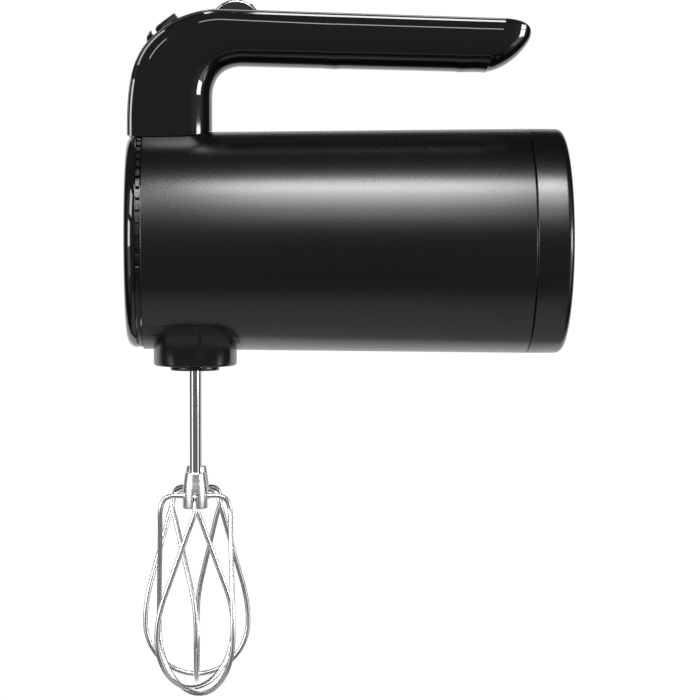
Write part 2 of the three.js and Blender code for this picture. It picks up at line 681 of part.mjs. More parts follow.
function fan() {
  const hub = turnedX([
    [fanFrontX, SHAFT_RADIUS + GAP], [fanFrontX, 8], [fanRearX, 8], [fanRearX, SHAFT_RADIUS + GAP],
    [fanFrontX, SHAFT_RADIUS + GAP],
  ], 16);
  const tip = Math.min(roomRadius(fanRearX), roomRadius(fanFrontX)) - 6;
  const blades = Array.from({ length: FAN_BLADES }, (_, i) => {
    const blade = block([-FAN_WIDTH / 2 + 0.4, -0.7, 7], [FAN_WIDTH / 2 - 0.4, 0.7, tip]).rotate([0, 0, 28]);
    return blade.rotate([(360 * i) / FAN_BLADES, 0, 0]).translate((fanFrontX + fanRearX) / 2, 0, 0);
  });
  return joinAll([hub, ...blades]);
}

// ---------- battery ----------

const cellSpacing = 2 * CELL_RADIUS + CELL_PITCH_GAP;
const cellPlaces = [[-1, 1], [1, 1], [-1, -1], [1, -1]].map(([y, z]) =>
  [(y * cellSpacing) / 2, (z * cellSpacing) / 2]);

function cell([y, z]) {
  const [x0, x1] = [cellFrontX, cellRearX];
  const profile = [
    [x0, 0], [x0, 3.2], [x0 + 1.2, 3.2], [x0 + 1.2, CELL_RADIUS],
    [x1, CELL_RADIUS], [x1, 0],
  ];
  return turnedX(profile, 16).translate(0, y, z);
}

/** A plate across the barrel that carries the ends of the cells. */
function cellHolder(x0, x1) {
  const radius = Math.min(roomRadius(x0), roomRadius(x1));
  const shape = outline(ring(radius, 32));
  const bore = CELL_RADIUS + GAP;
  const holes = cellPlaces.map(([y, z]) => ring(bore, 16, y, z));
  const vents = [0, 1, 2, 3].map((i) => {
    const turn = (TAU * i) / 4;
    const inside = cellSpacing / 2 + bore;
    const reach = (radius + inside) / 2;
    const size = (radius - inside) / 2 - 2.5;
    return ring(size, 8, reach * Math.cos(turn), reach * Math.sin(turn));
  });
  const plate = extrudedX(shape, x0, x1);
  const drill = (points) => extrudedX(outline(points), x0 - 1, x1 + 1);
  return plate.subtract(joinAll([...holes, ...vents].map(drill)));
}

function powerBoard() {
  const radius = barrelRadius(barrelRearX) - SHELL_WALL - 6;
  const slab = extrudedX(outline(ring(radius, 24)), boardX, boardX + BOARD_THICKNESS);
  const chips = [[-14, 10, 16, 9, 3], [12, 14, 10, 10, 2.2], [10, -12, 14, 8, 4]].map(([y, z, w, h, t]) =>
    block([boardX + 1, y - w / 2, z - h / 2], [boardX + BOARD_THICKNESS + t, y + w / 2, z + h / 2]));
  return joinAll([slab, ...chips]);
}

/** A metal shell behind the inlet, open to the rear. */
function chargeSocket() {
  const wide = INLET_WIDTH / 2 - GAP;
  const [low, high] = [-INLET_DROP - INLET_HEIGHT + GAP, -INLET_DROP - GAP];
  const wall = 1.4;
  const shell = block([boardX + BOARD_THICKNESS + GAP, -wide, low], [-0.4, wide, high]);
  return shell.subtract(block([-8, -wide + wall, low + wall], [1, wide - wall, high - wall]));
}

// ---------- handle ----------

const bezier = (p0, p1, p2, p3) =>
  new THREE.CubicBezierCurve(...[p0, p1, p2, p3].map(([u, v]) => new THREE.Vector2(u, v)));

const footZ = 0; // on the barrel's axis; the barrel's own shape is cut away
const topRearZ = gripTopZ - GRIP_TOP_FALL;
const tipZ = topRearZ - TIP_DROP;
const underRearZ = gripUnderZ - GRIP_UNDER_FALL;

/** The outer line of the handle, from the foot of its column over the bend to the tip. */
function outerLine() {
  const bendFootZ = NOSE_RADIUS + BEND_FOOT;
  const [crestX, crestZ] = [columnFrontX + CREST_SETBACK, gripTopZ - CREST_DROP];
  const rise = crestZ - bendFootZ;
  const run = gripStartX - crestX;
  const pull = [0.67 * rise, 0.52 * run, 0.21 * run, 0.3 * run];
  const beyond = (distance) => [crestX + distance, crestZ + CREST_SLOPE * distance];
  const lower = bezier([columnFrontX, bendFootZ], [columnFrontX, bendFootZ + pull[0]], beyond(-pull[1]),
    [crestX, crestZ]);
  const upper = bezier([crestX, crestZ], beyond(pull[2]), [gripStartX - pull[3], gripTopZ],
    [gripStartX, gripTopZ]);
  const nose = bezier([tipStartX, topRearZ], [tipX - 1.3, topRearZ - 0.35], [tipX, tipZ + 3.1], [tipX, tipZ]);
  const points = [[columnFrontX, footZ]];
  lower.getPoints(9).forEach((p) => points.push([p.x, p.y]));
  upper.getPoints(5).slice(1).forEach((p) => points.push([p.x, p.y]));
  nose.getPoints(6).forEach((p) => points.push([p.x, p.y]));
  return points;
}

/** The inner line, from the tip along the underside and down the back of the column. */
function innerLine() {
  const underX = tipX - TIP_UNDER_LENGTH;
  const tip = bezier([tipX, tipZ], [tipX, tipZ - 3.4], [underX + 13, underRearZ - 0.3], [underX, underRearZ]);
  const cornerX = columnRearX + INNER_CORNER_LENGTH;
  const cornerZ = gripUnderZ - INNER_CORNER_DROP;
  const corner = bezier([cornerX, gripUnderZ], [cornerX - 0.68 * INNER_CORNER_LENGTH, gripUnderZ],
    [columnRearX, cornerZ + 0.61 * INNER_CORNER_DROP], [columnRearX, cornerZ]);
  const points = tip.getPoints(7).slice(1).map((p) => [p.x, p.y]);
  corner.getPoints(7).forEach((p) => points.push([p.x, p.y]));
  points.push([columnRearX, footZ]);
  return points;
}

/** A line of points moved sideways by a distance, to its right as it runs. */
function beside(points, distance) {
  return points.map(([x, z], i) => {
    const [xa, za] = points[Math.max(i - 1, 0)];
    const [xb, zb] = points[Math.min(i + 1, points.length - 1)];
    const length = Math.hypot(xb - xa, zb - za);
    return [x + ((zb - za) / length) * distance, z - ((xb - xa) / length) * distance];
  });
}

/** Everything below the handle's cover, down to a distance from its outer line. */
function underCover(distance, width) {
  const line = beside(outerLine(), distance);
  const [lastX, lastZ] = line[line.length - 1];
  const points = [...line, [lastX + 20, lastZ - 1], [lastX + 20, footZ - 20], [line[0][0], footZ - 20]];
  return extrudedY(outline(points), -width, width);
}

/** The whole handle before it is parted into its shell and its cover. */
function handleBlank() {
  const side = outline([...outerLine(), ...innerLine()]);
  const whole = extrudedY(side, -HANDLE_WIDTH / 2, HANDLE_WIDTH / 2, HANDLE_EDGE, HANDLE_EDGE / 2);
  const nose = barX(bossRadius + GAP, columnFrontX - 5, barrelFrontX, RIM_SIDES);
  return whole.subtract(cone(GAP, columnFrontX - 5, 0)).subtract(nose);
}

const handleWhole = handleBlank();

/** Where a button stands on the bend: its place, and the turn that points its own Z outwards. */
function seatOnBend(setback) {
  const bendPoints = outerLine().slice(1, 16);
  const bend = new THREE.CatmullRomCurve3(bendPoints.map(([x, z]) => new THREE.Vector3(x, 0, z)));
  const shares = Array.from({ length: 201 }, (_, i) => i / 200);
  const share = shares.find((t) => bend.getPointAt(t).x >= columnFrontX + setback);
  const at = bend.getPointAt(share);
  const along = bend.getTangentAt(share);
  return { x: at.x, z: at.z, turn: -Math.atan2(along.z, along.x) };
}

const ejectSeat = seatOnBend(EJECT_SETBACK);
const turboSeat = seatOnBend(TURBO_SETBACK);

/** A round-cornered bar across the handle, from below its cover to above it, in the seat's own frame. */
function buttonBar(length, width, bottom, top) {
  const shape = outline([
    [-length / 2, bottom], [length / 2, bottom], [length / 2, top - 0.9], [length / 2 - 0.9, top],
    [-length / 2 + 0.9, top], [-length / 2, top - 0.9],
  ]);
  return extrudedY(shape, -width / 2, width / 2, 0.8, 0.8);
}

function seated(solid, seat) {
  return solid.rotate([0, THREE.MathUtils.radToDeg(seat.turn), 0]).translate(seat.x, 0, seat.z);
}

/** The seats of both buttons, as deep as each one is pressed. */
function buttonHoles() {
  const wide = BUTTON_WIDTH / 2 + GAP;
  const seats = [
    [ejectSeat, EJECT_LENGTH / 2 + GAP, EJECT_DEPTH + EJECT_TRAVEL + GAP],
    [turboSeat, TURBO_LENGTH / 2 + GAP, TURBO_DEPTH + TURBO_TRAVEL + GAP],
  ];
  return seats.map(([seat, half, deep]) =>
    seated(block([-half, -wide, -deep], [half, wide, 2 * BUTTON_PROUD]), seat));
}

function wheelSlot() {
  const room = 0.8;
  const half = WHEEL_WIDTH / 2 + room;
  return turnedY([[-half, 0], [-half, WHEEL_RADIUS + room], [half, WHEEL_RADIUS + room], [half, 0]], 32)
    .translate(wheelX, 0, wheelZ);
}

function handleShell() {
  const body = handleWhole.intersect(underCover(COVER_THICKNESS + GAP, HANDLE_WIDTH));
  const inner = beside(outerLine(), COVER_THICKNESS - 1).slice(4, -4);
  const under = beside(innerLine(), HANDLE_WALL).slice(5);
  const floorZ = NOSE_RADIUS + 8;
  const hollowFoot = [[columnRearX - HANDLE_WALL, floorZ], [columnFrontX + 2 * HANDLE_WALL, floorZ]];
  const room = outline([...inner, ...under.slice(0, -1), ...hollowFoot]);
  const hollow = extrudedY(room, -hollowHalfWidth, hollowHalfWidth);
  const rodHole = rodZ(EJECT_ROD_RADIUS + 1.5, 0, gripUnderZ).translate(rodX, 0, 0);
  const screwHoles = screwPlaces.map((x) =>
    rodZ(SCREW_RADIUS + GAP, 0, barrelRadius(x) + 6, 12).translate(x, 0, 0));
  return body.subtract(hollow).subtract(joinAll([...buttonHoles(), wheelSlot(), rodHole, ...screwHoles]));
}

function handleCover() {
  const strip = handleWhole.subtract(underCover(COVER_THICKNESS, HANDLE_WIDTH));
  return strip.subtract(joinAll([...buttonHoles(), wheelSlot()]));
}

function handleScrew(x) {
  const headZ = barrelRadius(x) - SHELL_WALL - GAP - 0.4;
  const [headRadius, headHeight, length] = [3.4, 2.5, 8];
  const profile = [
    [0, headZ - headHeight], [headRadius, headZ - headHeight], [headRadius, headZ], [SCREW_RADIUS, headZ],
    [SCREW_RADIUS, headZ + length], [0, headZ + length],
  ];
  return turnedZ(profile, 12).translate(x, 0, 0);
}

/** The dial: a rounded rim, with a groove in each flank for a bright ring. */
function speedWheel() {
  const half = WHEEL_WIDTH / 2;
  const bore = WHEEL_AXLE_RADIUS + GAP;
  const inner = WHEEL_RADIUS - WHEEL_RIM - TRIM_WIDTH;
  const outer = WHEEL_RADIUS - WHEEL_RIM;
  const right = [
    [half, bore], [half, inner], [half - TRIM_DEPTH, inner], [half - TRIM_DEPTH, outer], [half, outer],
    [half, WHEEL_RADIUS - WHEEL_EDGE], [half - WHEEL_EDGE, WHEEL_RADIUS],
  ];
  const left = right.map(([y, radius]) => [-y, radius]);
  return turnedY([...left, ...right.reverse(), left[0]], 20);
}

function wheelRing(side) {
  const half = WHEEL_WIDTH / 2;
  const [y0, y1] = [half - TRIM_DEPTH + GAP, half + TRIM_PROUD];
  const inner = WHEEL_RADIUS - WHEEL_RIM - TRIM_WIDTH + GAP;
  const outer = WHEEL_RADIUS - WHEEL_RIM - GAP;
  const ringShape = turnedY([[y0, inner], [y1, inner], [y1, outer], [y0, outer], [y0, inner]], 24);
  return side > 0 ? ringShape : ringShape.mirror([0, 1, 0]);
}

/** The control board, along the grip behind the wheel. */
function speedBoard() {
  const [x, z] = [wheelX + WHEEL_RADIUS + 1, gripUnderZ + HANDLE_WALL + 0.6];
  return block([x, -9, z], [x + 48, 9, z + BOARD_THICKNESS]);
}

// ---------- whisks ----------

/** How far outward a wire has come, for its share of the way down: straight, then easing to upright. */
function easedShare(down) {
  const past = Math.max(0, down - WIRE_STRAIGHT_SHARE);
  return (2 / (1 + WIRE_STRAIGHT_SHARE)) * (down - past ** 2 / (2 * (1 - WIRE_STRAIGHT_SHARE)));
}

/** Half of a wire loop, from inside the hub down and round to the whisk's axis, with z from the ports. */
function halfLoop(azimuth, twist, bottomZ) {
  const at = (radius, turn, z) => new THREE.Vector3(radius * Math.cos(turn), radius * Math.sin(turn), z);
  const shoulder = at(WIRE_SHOULDER_RADIUS, azimuth, -WIRE_SHOULDER_DROP);
  const bulge = at(BULGE_RADIUS, azimuth + twist, -BULGE_DROP);
  const corner = WIRE_SHOULDER_RADIUS - WIRE_CORNER;
  const elbow = at(corner + WIRE_CORNER * 0.66, azimuth, -WIRE_CORNER * 0.3);
  const points = [at(WIRE_END_RADIUS, azimuth, 0), at(corner, azimuth, 0), elbow, shoulder];
  for (let i = 1; i <= 6; i += 1) {
    const point = shoulder.clone().lerp(bulge, easedShare(i / 7));
    points.push(point.setZ(THREE.MathUtils.lerp(shoulder.z, bulge.z, i / 7)));
  }
  for (let i = 0; i < 7; i += 1) {
    const turn = (Math.PI / 2) * (i / 7);
    const z = -BULGE_DROP - (bottomZ - BULGE_DROP) * Math.sin(turn);
    points.push(at(BULGE_RADIUS * Math.cos(turn), azimuth + twist, z));
  }
  return points;
}

function wireLoop(azimuth, twist, raise) {
  const bottomZ = BULGE_DROP + BOWL_DEPTH - raise;
  const down = halfLoop(azimuth, twist, bottomZ);
  const up = halfLoop(azimuth + Math.PI, twist, bottomZ).reverse();
  const points = [...down, new THREE.Vector3(0, 0, -bottomZ), ...up];
  return wire(new THREE.CatmullRomCurve3(points, false, 'centripetal'), WIRE_DIAMETER / 2, 44);
}

function whiskShaft() {
  const r = SHAFT_DIAMETER / 2;
  const top = socketZ + SOCKET_DEPTH;
  const bottom = socketZ - HUB_DROP - SHAFT_SEAT;
  const rod = turnedZ([[0, bottom], [r, bottom], [r, top - 1.5], [r - 1, top], [0, top]], 16);
  const thick = WING_THICKNESS / 2;
  return rod.add(block([-WING_REACH, -thick, socketZ + 2], [WING_REACH, thick, socketZ + 9]));
}

function whiskHub() {
  const top = socketZ - HUB_DROP;
  const bottom = top - HUB_HEIGHT;
  const body = turnedZ([
    [0, bottom], [HUB_RADIUS - 0.5, bottom], [HUB_RADIUS, bottom + 0.5], [HUB_RADIUS, top - 7],
    [HUB_NECK_RADIUS, top - 0.5], [HUB_NECK_RADIUS - 0.4, top], [0, top],
  ], 16);
  const shaftBore = rodZ(SHAFT_DIAMETER / 2 + GAP, top - SHAFT_SEAT - 0.5, top + 1);
  const port = barX(WIRE_DIAMETER / 2 + GAP, WIRE_END_RADIUS - 0.5, HUB_RADIUS + 2, 8);
  const portZ = top - WIRE_PORT_DROP;
  const ports = [0, 90, 180, 270].map((deg) => port.rotate([0, 0, deg]).translate(0, 0, portZ));
  return body.subtract(joinAll([shaftBore, ...ports]));
}

// ---------- assembly ----------

const mixer = new THREE.Group();
mixer.name = 'hand_mixer';

const housing = group('housing', 0, 0, 0, mixer);
piece('barrel_shell', barrelShell(), satinBlack, housing);
piece('rear_cap', rearCap(), satinBlack, housing);
piece('front_cap', frontCap(), glossBlack, housing);
piece('vent_ring', ventRing(), softBlack, housing);
piece('chin_cover', chinCover(), softBlack, housing);
piece('handle_shell', handleShell(), glossBlack, housing);
piece('handle_cover', handleCover(), glossBlack, housing);
piece('handle_screw_front', handleScrew(screwPlaces[0]), plainSteel, housing);
piece('handle_screw_rear', handleScrew(screwPlaces[1]), plainSteel, housing);
piece('speed_board', speedBoard(), boardGreen, housing);

piece('gear_frame', gearFrame(), naturalNylon, housing);
[['left', -1], ['right', 1]].forEach(([side, way]) => {
  const lower = spindleBush(SPINDLE_RADIUS, frameBottomZ, true).translate(spindleX, way * spindleY, 0);
  const upperPlateZ = frameTopZ - FRAME_PLATE;
  const upper = spindleBush(SPINDLE_NECK_RADIUS, upperPlateZ, false).translate(spindleX, way * spindleY, 0);
  piece(`${side}_lower_bush`, lower, sinteredBronze, housing);
  piece(`${side}_upper_bush`, upper, sinteredBronze, housing);
});
const bearingRadius = SHAFT_RADIUS + 3;
const frontBearing = tubeX(bearingRadius, SHAFT_RADIUS + GAP, frameFrontX - 1, frameFrontX + FRAME_PLATE + 1);
piece('worm_bearing', frontBearing, sinteredBronze, housing);
piece('eject_spring', coilSpring(4.4, 0.5, NOSE_RADIUS + 9, gripUnderZ - 2, 4).translate(rodX, 0, 0),
  plainSteel, housing);

piece('motor_can', motorCan(), plainSteel, housing);
piece('upper_motor_screw', motorScrew(MOTOR_SCREW_REACH), plainSteel, housing);
piece('lower_motor_screw', motorScrew(-MOTOR_SCREW_REACH), plainSteel, housing);
piece('upper_magnet', magnet(1), ferrite, housing);
piece('lower_magnet', magnet(-1), ferrite, housing);
const endCapRadius = MOTOR_RADIUS - MOTOR_WALL - GAP;
const endCap = tubeX(endCapRadius, bearingRadius + GAP, motorRearX - 4, motorRearX - 1, 32);
piece('motor_end_cap', endCap, greyNylon, housing);
const rearBearing = tubeX(bearingRadius, SHAFT_RADIUS + GAP, motorRearX - 5, motorRearX);
piece('motor_bearing', rearBearing, sinteredBronze, housing);

cellPlaces.forEach((place, i) => piece(`cell_${i + 1}`, cell(place), cellSleeve, housing));
piece('front_cell_holder', cellHolder(cellFrontX + 3, cellFrontX + 3 + HOLDER_THICKNESS), greyNylon, housing);
piece('rear_cell_holder', cellHolder(cellRearX - 3 - HOLDER_THICKNESS, cellRearX - 3), greyNylon, housing);
piece('power_board', powerBoard(), boardGreen, housing);
piece('charge_socket', chargeSocket(), plainSteel, housing);

const rotor = group('rotor', 0, 0, 0, mixer);
piece('motor_shaft', barX(SHAFT_RADIUS, frameFrontX - 0.5, fanRearX + 1), polishedSteel, rotor);
piece('worm', worm(), plainSteel, rotor);
piece('rotor_core', rotorCore(), plainSteel, rotor);
piece('front_winding', windings(motorFrontX + 4, motorFrontX + 9.6), copper, rotor);
piece('rear_winding', windings(motorRearX - 13.6, motorRearX - 9.5), copper, rotor);
const commutator = tubeX(6, SHAFT_RADIUS + GAP, motorRearX - 9, motorRearX - 5.5);
piece('commutator', commutator, copper, rotor);
piece('cooling_fan', fan(), greyNylon, rotor);

[['left', -1, 0, -1], ['right', 1, 45, 1]].forEach(([side, way, firstPortDeg, twistWay]) => {
  const drive = group(`${side}_drive`, spindleX, way * spindleY, 0, mixer);
  piece(`${side}_spindle`, spindle(), plainSteel, drive);
  piece(`${side}_worm_wheel`, wormWheel(), naturalNylon, drive);
  piece(`${side}_socket_collar`, socketCollar(), glossBlack, drive);

  const whisk = group(`${side}_whisk`, 0, 0, 0, drive);
  const turn = THREE.MathUtils.degToRad(firstPortDeg);
  const twist = THREE.MathUtils.degToRad(WIRE_TWIST_DEG) * twistWay;
  const portZ = socketZ - HUB_DROP - WIRE_PORT_DROP;
  piece(`${side}_whisk_shaft`, whiskShaft(), polishedSteel, whisk);
  piece(`${side}_whisk_hub`, whiskHub().rotate([0, 0, firstPortDeg]), polishedSteel, whisk);
  piece(`${side}_outer_loop`, wireLoop(turn, twist, 0).translate(0, 0, portZ), polishedSteel, whisk);
  piece(`${side}_inner_loop`, wireLoop(turn + Math.PI / 2, twist, LOOP_STEP).translate(0, 0, portZ),
    polishedSteel, whisk);
});

const dial = group('speed_dial', wheelX, 0, wheelZ, mixer);
piece('speed_wheel', speedWheel(), softBlack, dial);
piece('left_wheel_ring', wheelRing(-1), polishedSteel, dial);
piece('right_wheel_ring', wheelRing(1), polishedSteel, dial);
const axleReach = hollowHalfWidth - GAP;
const axle = turnedY([[-axleReach, 0], [-axleReach, WHEEL_AXLE_RADIUS], [axleReach, WHEEL_AXLE_RADIUS],
  [axleReach, 0]], 12);
piece('wheel_axle', axle, plainSteel, dial);

const ejector = group('ejector', 0, 0, 0, mixer);
piece('eject_button', seated(buttonBar(EJECT_LENGTH, BUTTON_WIDTH, -EJECT_DEPTH, BUTTON_PROUD), ejectSeat),
  glossBlack, ejector);
piece('ejector_fork', ejectorFork(), greyNylon, ejector);
piece('turbo_button', seated(buttonBar(TURBO_LENGTH, BUTTON_WIDTH, -TURBO_DEPTH, BUTTON_PROUD), turboSeat),
  glossBlack, mixer);

export default mixer;
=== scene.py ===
"""A cordless hand mixer with a satin barrel, a gloss handle and two steel whisks, dressed round its frame."""
import json
import math

import bmesh
import bpy
from mathutils import Matrix, Vector

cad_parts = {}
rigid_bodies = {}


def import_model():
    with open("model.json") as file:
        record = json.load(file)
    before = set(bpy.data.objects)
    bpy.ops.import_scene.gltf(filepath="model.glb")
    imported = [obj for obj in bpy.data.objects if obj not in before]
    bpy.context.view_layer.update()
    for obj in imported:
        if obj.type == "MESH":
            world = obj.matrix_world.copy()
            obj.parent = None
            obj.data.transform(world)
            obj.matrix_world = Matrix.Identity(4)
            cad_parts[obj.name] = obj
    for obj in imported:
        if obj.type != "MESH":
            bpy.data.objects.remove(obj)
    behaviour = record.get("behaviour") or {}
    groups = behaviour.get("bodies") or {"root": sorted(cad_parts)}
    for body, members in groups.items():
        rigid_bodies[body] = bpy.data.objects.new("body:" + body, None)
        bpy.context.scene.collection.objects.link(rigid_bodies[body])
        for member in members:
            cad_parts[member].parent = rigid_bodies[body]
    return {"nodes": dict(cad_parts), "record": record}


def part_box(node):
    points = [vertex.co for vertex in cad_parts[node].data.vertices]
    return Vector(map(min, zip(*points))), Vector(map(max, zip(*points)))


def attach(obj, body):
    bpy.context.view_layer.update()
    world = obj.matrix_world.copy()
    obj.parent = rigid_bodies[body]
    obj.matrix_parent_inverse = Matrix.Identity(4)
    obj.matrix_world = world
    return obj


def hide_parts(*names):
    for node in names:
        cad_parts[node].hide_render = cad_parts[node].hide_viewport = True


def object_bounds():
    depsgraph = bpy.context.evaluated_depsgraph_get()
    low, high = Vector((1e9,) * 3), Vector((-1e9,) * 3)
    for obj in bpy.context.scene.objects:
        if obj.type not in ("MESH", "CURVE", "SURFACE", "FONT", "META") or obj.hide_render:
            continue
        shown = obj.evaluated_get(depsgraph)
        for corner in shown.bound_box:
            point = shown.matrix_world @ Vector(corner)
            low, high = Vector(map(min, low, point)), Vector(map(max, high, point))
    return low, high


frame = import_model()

cad_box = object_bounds()
MM = 0.001
GAP = 0.3 * MM


# ---------- sizes, read from the frame or named here ----------

def reach(node):
    """A node's lowest and highest corners as vectors."""
    low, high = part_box(node)
    return Vector(low), Vector(high)


rear_low, rear_high = reach("rear_cap")
barrel_low, barrel_high = reach("barrel_shell")
nose_low, nose_high = reach("front_cap")
vent_low, vent_high = reach("vent_ring")
chin_low = reach("chin_cover")[0]
cover_low, cover_high = reach("handle_cover")
shell_low, shell_high = reach("handle_shell")
wheel_low, wheel_high = reach("speed_wheel")
rod_low, rod_high = reach("left_whisk_shaft")

HEEL_RADIUS = rear_high.y
NOSE_RADIUS = 48.4 * MM
SHELL_WALL = 2.5 * MM
BARREL_FRONT = barrel_low.x
BARREL_REAR = barrel_high.x
WHISK_PLANE = (rod_low.x + rod_high.x) / 2  # where both whisks hang
COLUMN_DEPTH = 38 * MM
FINGER_GAP = 29.6 * MM
GRIP_DEPTH = 24.7 * MM
HANDLE_WIDTH = shell_high.y - shell_low.y
COVER_THICKNESS = 2.2 * MM
BOSS_LENGTH = 37 * MM
BOSS_WIDTH = 60 * MM
BOSS_CORNER_LENGTH = 11 * MM
BOSS_CORNER_WIDTH = 24 * MM
CHIN_SIDE_DEPTH = 37.2 * MM
CHIN_CURVE_LENGTH = 18.7 * MM
CHIN_CURVE_SETBACK = 2.2 * MM  # behind the whisks' plane
ROUND_SIDES = 192  # of the casing's turned parts
NOSE_RIM = 5 * MM
NOTCH_WIDTH = 62 * MM
NOTCH_DROP = 30 * MM
VENT_PITCH = math.radians(6.6)
VENTS_EACH_SIDE = 16
VENT_DEPTH = 1.4 * MM
CREST_SETBACK = 18.5 * MM
CREST_DROP = 6.6 * MM
CREST_SLOPE = 0.72
BEND_FOOT = 2.4 * MM
BEND_LENGTH = 40.2 * MM
TIP_FALL = 3.5 * MM  # of the grip's top, along its length
TIP_UNDER_FALL = 2.1 * MM
TIP_DROP = 7.2 * MM
TIP_LENGTH = 14.1 * MM
TIP_UNDER_LENGTH = 22.8 * MM
CORNER_LENGTH = 13.7 * MM
CORNER_DROP = 14.3 * MM
ROUND_DEPTH = 16 * MM  # of the handle's rounded underside
FLANK_INSET = 0.16 * MM
BUTTON_WIDTH = 17 * MM
BUTTON_PROUD = 3.2 * MM
BUTTON_ROOM = 6.4 * MM  # below a button, for its travel
EJECT_LENGTH = 11.2 * MM
EJECT_DEPTH = 5 * MM
TURBO_LENGTH = 4.2 * MM
TURBO_DEPTH = 3 * MM
WHEEL_ROOM = 0.8 * MM
WIRE_RADIUS = 1.1 * MM
WIRE_START = 3.9 * MM
PORT_RADIUS = 1.35 * MM
PORT_DROP = 10.5 * MM
SHOULDER_RADIUS = 15.4 * MM
SHOULDER_DROP = 6.2 * MM
WIRE_CORNER = 5 * MM
BULGE_RADIUS = 23.5 * MM
BULGE_DROP = 61 * MM
BOWL_DEPTH = 26.9 * MM
LOOP_STEP = 2.7 * MM  # between the two loops, where they cross at the bottom
STRAIGHT_SHARE = 0.68  # of the way to the bulge, before a wire eases round
SHAFT_RADIUS = 2.4 * MM
HUB_RADIUS = 5.6 * MM
HUB_NECK_RADIUS = 4.6 * MM
HUB_BORE_RADIUS = 2.45 * MM
SOCKET_BORE = 6.3 * MM
FIN_REACH = 4.3 * MM
FIN_BOTTOM = -55 * MM
FIN_TOP = -48 * MM


def barrel_radius(x):
    """The barrel widens evenly from its nose to its heel."""
    along = (x - BARREL_FRONT) / (BARREL_REAR - BARREL_FRONT)
    return NOSE_RADIUS + (HEEL_RADIUS - NOSE_RADIUS) * along


# ---------- camera ----------

def aim(thing, target):
    """Turns a lamp or the camera towards a point."""
    thing.rotation_euler = (Vector(target) - thing.location).to_track_quat("-Z", "Y").to_euler()


CAMERA_PLACE = (-0.1469, -1.1, -0.009)
CAMERA_TARGET = (-0.0952, 0, -0.0491)
CAMERA_LENS = 125.7


def place_camera():
    """A long lens at the barrel's height, turned a few degrees down and towards the heel."""
    data = bpy.data.cameras.new("camera")
    data.lens = CAMERA_LENS
    data.sensor_width = 36
    camera = bpy.data.objects.new("camera", data)
    bpy.context.collection.objects.link(camera)
    camera.location = CAMERA_PLACE
    aim(camera, CAMERA_TARGET)
    bpy.context.scene.camera = camera


# ---------- shader expressions ----------

class Flow:
    """A shader socket that can be added, multiplied and so on in Python expressions."""

    def __init__(self, tree, socket):
        self.tree = tree
        self.socket = socket

    def math(self, operation, first, second):
        return Nodes(self.tree).math(operation, first, second)

    def __add__(self, other):
        return self.math("ADD", self, other)

    def __radd__(self, other):
        return self.math("ADD", other, self)

    def __sub__(self, other):
        return self.math("SUBTRACT", self, other)

    def __rsub__(self, other):
        return self.math("SUBTRACT", other, self)

    def __mul__(self, other):
        return self.math("MULTIPLY", self, other)

    def __rmul__(self, other):
        return self.math("MULTIPLY", other, self)

    def __pow__(self, other):
        return self.math("POWER", self, other)


def plug(tree, slot, value):
    if isinstance(value, Flow):
        tree.links.new(slot, value.socket)
    else:
        slot.default_value = value


class Nodes:
    """A shader tree that is built by expressions."""

    def __init__(self, tree):
        self.tree = tree

    def node(self, kind, settings=None, values=None, out=0):
        made = self.tree.nodes.new("ShaderNode" + kind)
        for key, value in (settings or {}).items():
            setattr(made, key, value)
        for key, value in (values or {}).items():
            plug(self.tree, made.inputs[key], value)
        return None if out is None else Flow(self.tree, made.outputs[out])

    def math(self, operation, first, second=0.0):
        return self.node("Math", {"operation": operation}, {0: first, 1: second})

    def step(self, value, nothing, full):
        """A smooth mask, from 0 at one value to 1 at another."""
        values = {0: value, 1: nothing, 2: full, 3: 0.0, 4: 1.0}
        return self.node("MapRange", {"interpolation_type": "SMOOTHSTEP"}, values)


class Finish(Nodes):
    """A material under construction, with one surface shader."""

    def __init__(self, name):
        self.material = bpy.data.materials.new(name)
        self.material.use_nodes = True
        super().__init__(self.material.node_tree)
        self.surface = self.tree.nodes["Principled BSDF"]

    def place(self, stretch=(1, 1, 1)):
        """The spot on the piece, in metres, stretched if a pattern runs one way."""
        spot = self.node("TexCoord", out="Object")
        return self.node("Mapping", {"vector_type": "POINT"}, {"Vector": spot, "Scale": stretch})

    def noise(self, spot, scale, detail=2.0, roughness=0.5):
        values = {"Vector": spot, "Scale": scale, "Detail": detail, "Roughness": roughness}
        return self.node("TexNoise", values=values, out="Fac")

    def blend(self, amount, first, second):
        values = {0: amount, 6: (*first, 1), 7: (*second, 1)}
        return self.node("Mix", {"data_type": "RGBA"}, values, out=2)

    def bump(self, height, depth):
        return self.node("Bump", values={"Strength": 1.0, "Distance": depth, "Height": height})

    def done(self, **sockets):
        for key, value in sockets.items():
            plug(self.tree, self.surface.inputs[key.replace("_", " ")], value)
        return self.material


def satin_lacquer(name, roughness=0.24):
    """Black lacquer over metal with a fine even grain and the faintest cloudiness."""
    finish = Finish(name)
    spot = finish.place()
    grain = finish.noise(spot, 2600, 3.0, 0.65)
    cloud = finish.noise(spot, 22, 2.0)
    colour = finish.blend(grain, (0.0006, 0.0006, 0.0007), (0.003, 0.003, 0.0032))
    return finish.done(
        Base_Color=colour,
        Roughness=roughness + 0.05 * cloud + 0.10 * (grain - 0.5),
        Normal=finish.bump(grain, 0.005 * MM),
        Specular_IOR_Level=0.62,
    )


def gloss_moulding(name, depth=(0.0025, 0.0025, 0.0027), roughness=0.035):
    """High-gloss black plastic: a slight flow ripple and a trace of handling."""
    finish = Finish(name)
    spot = finish.place()
    ripple = finish.noise(spot, 55, 1.0)
    haze = finish.noise(spot, 130, 4.0, 0.6)
    colour = finish.blend(haze, depth, tuple(2.0 * part for part in depth))
    return finish.done(
        Base_Color=colour,
        Roughness=roughness + 0.05 * haze ** 3,
        Normal=finish.bump(ripple, 0.02 * MM),
        Specular_IOR_Level=0.6,
    )


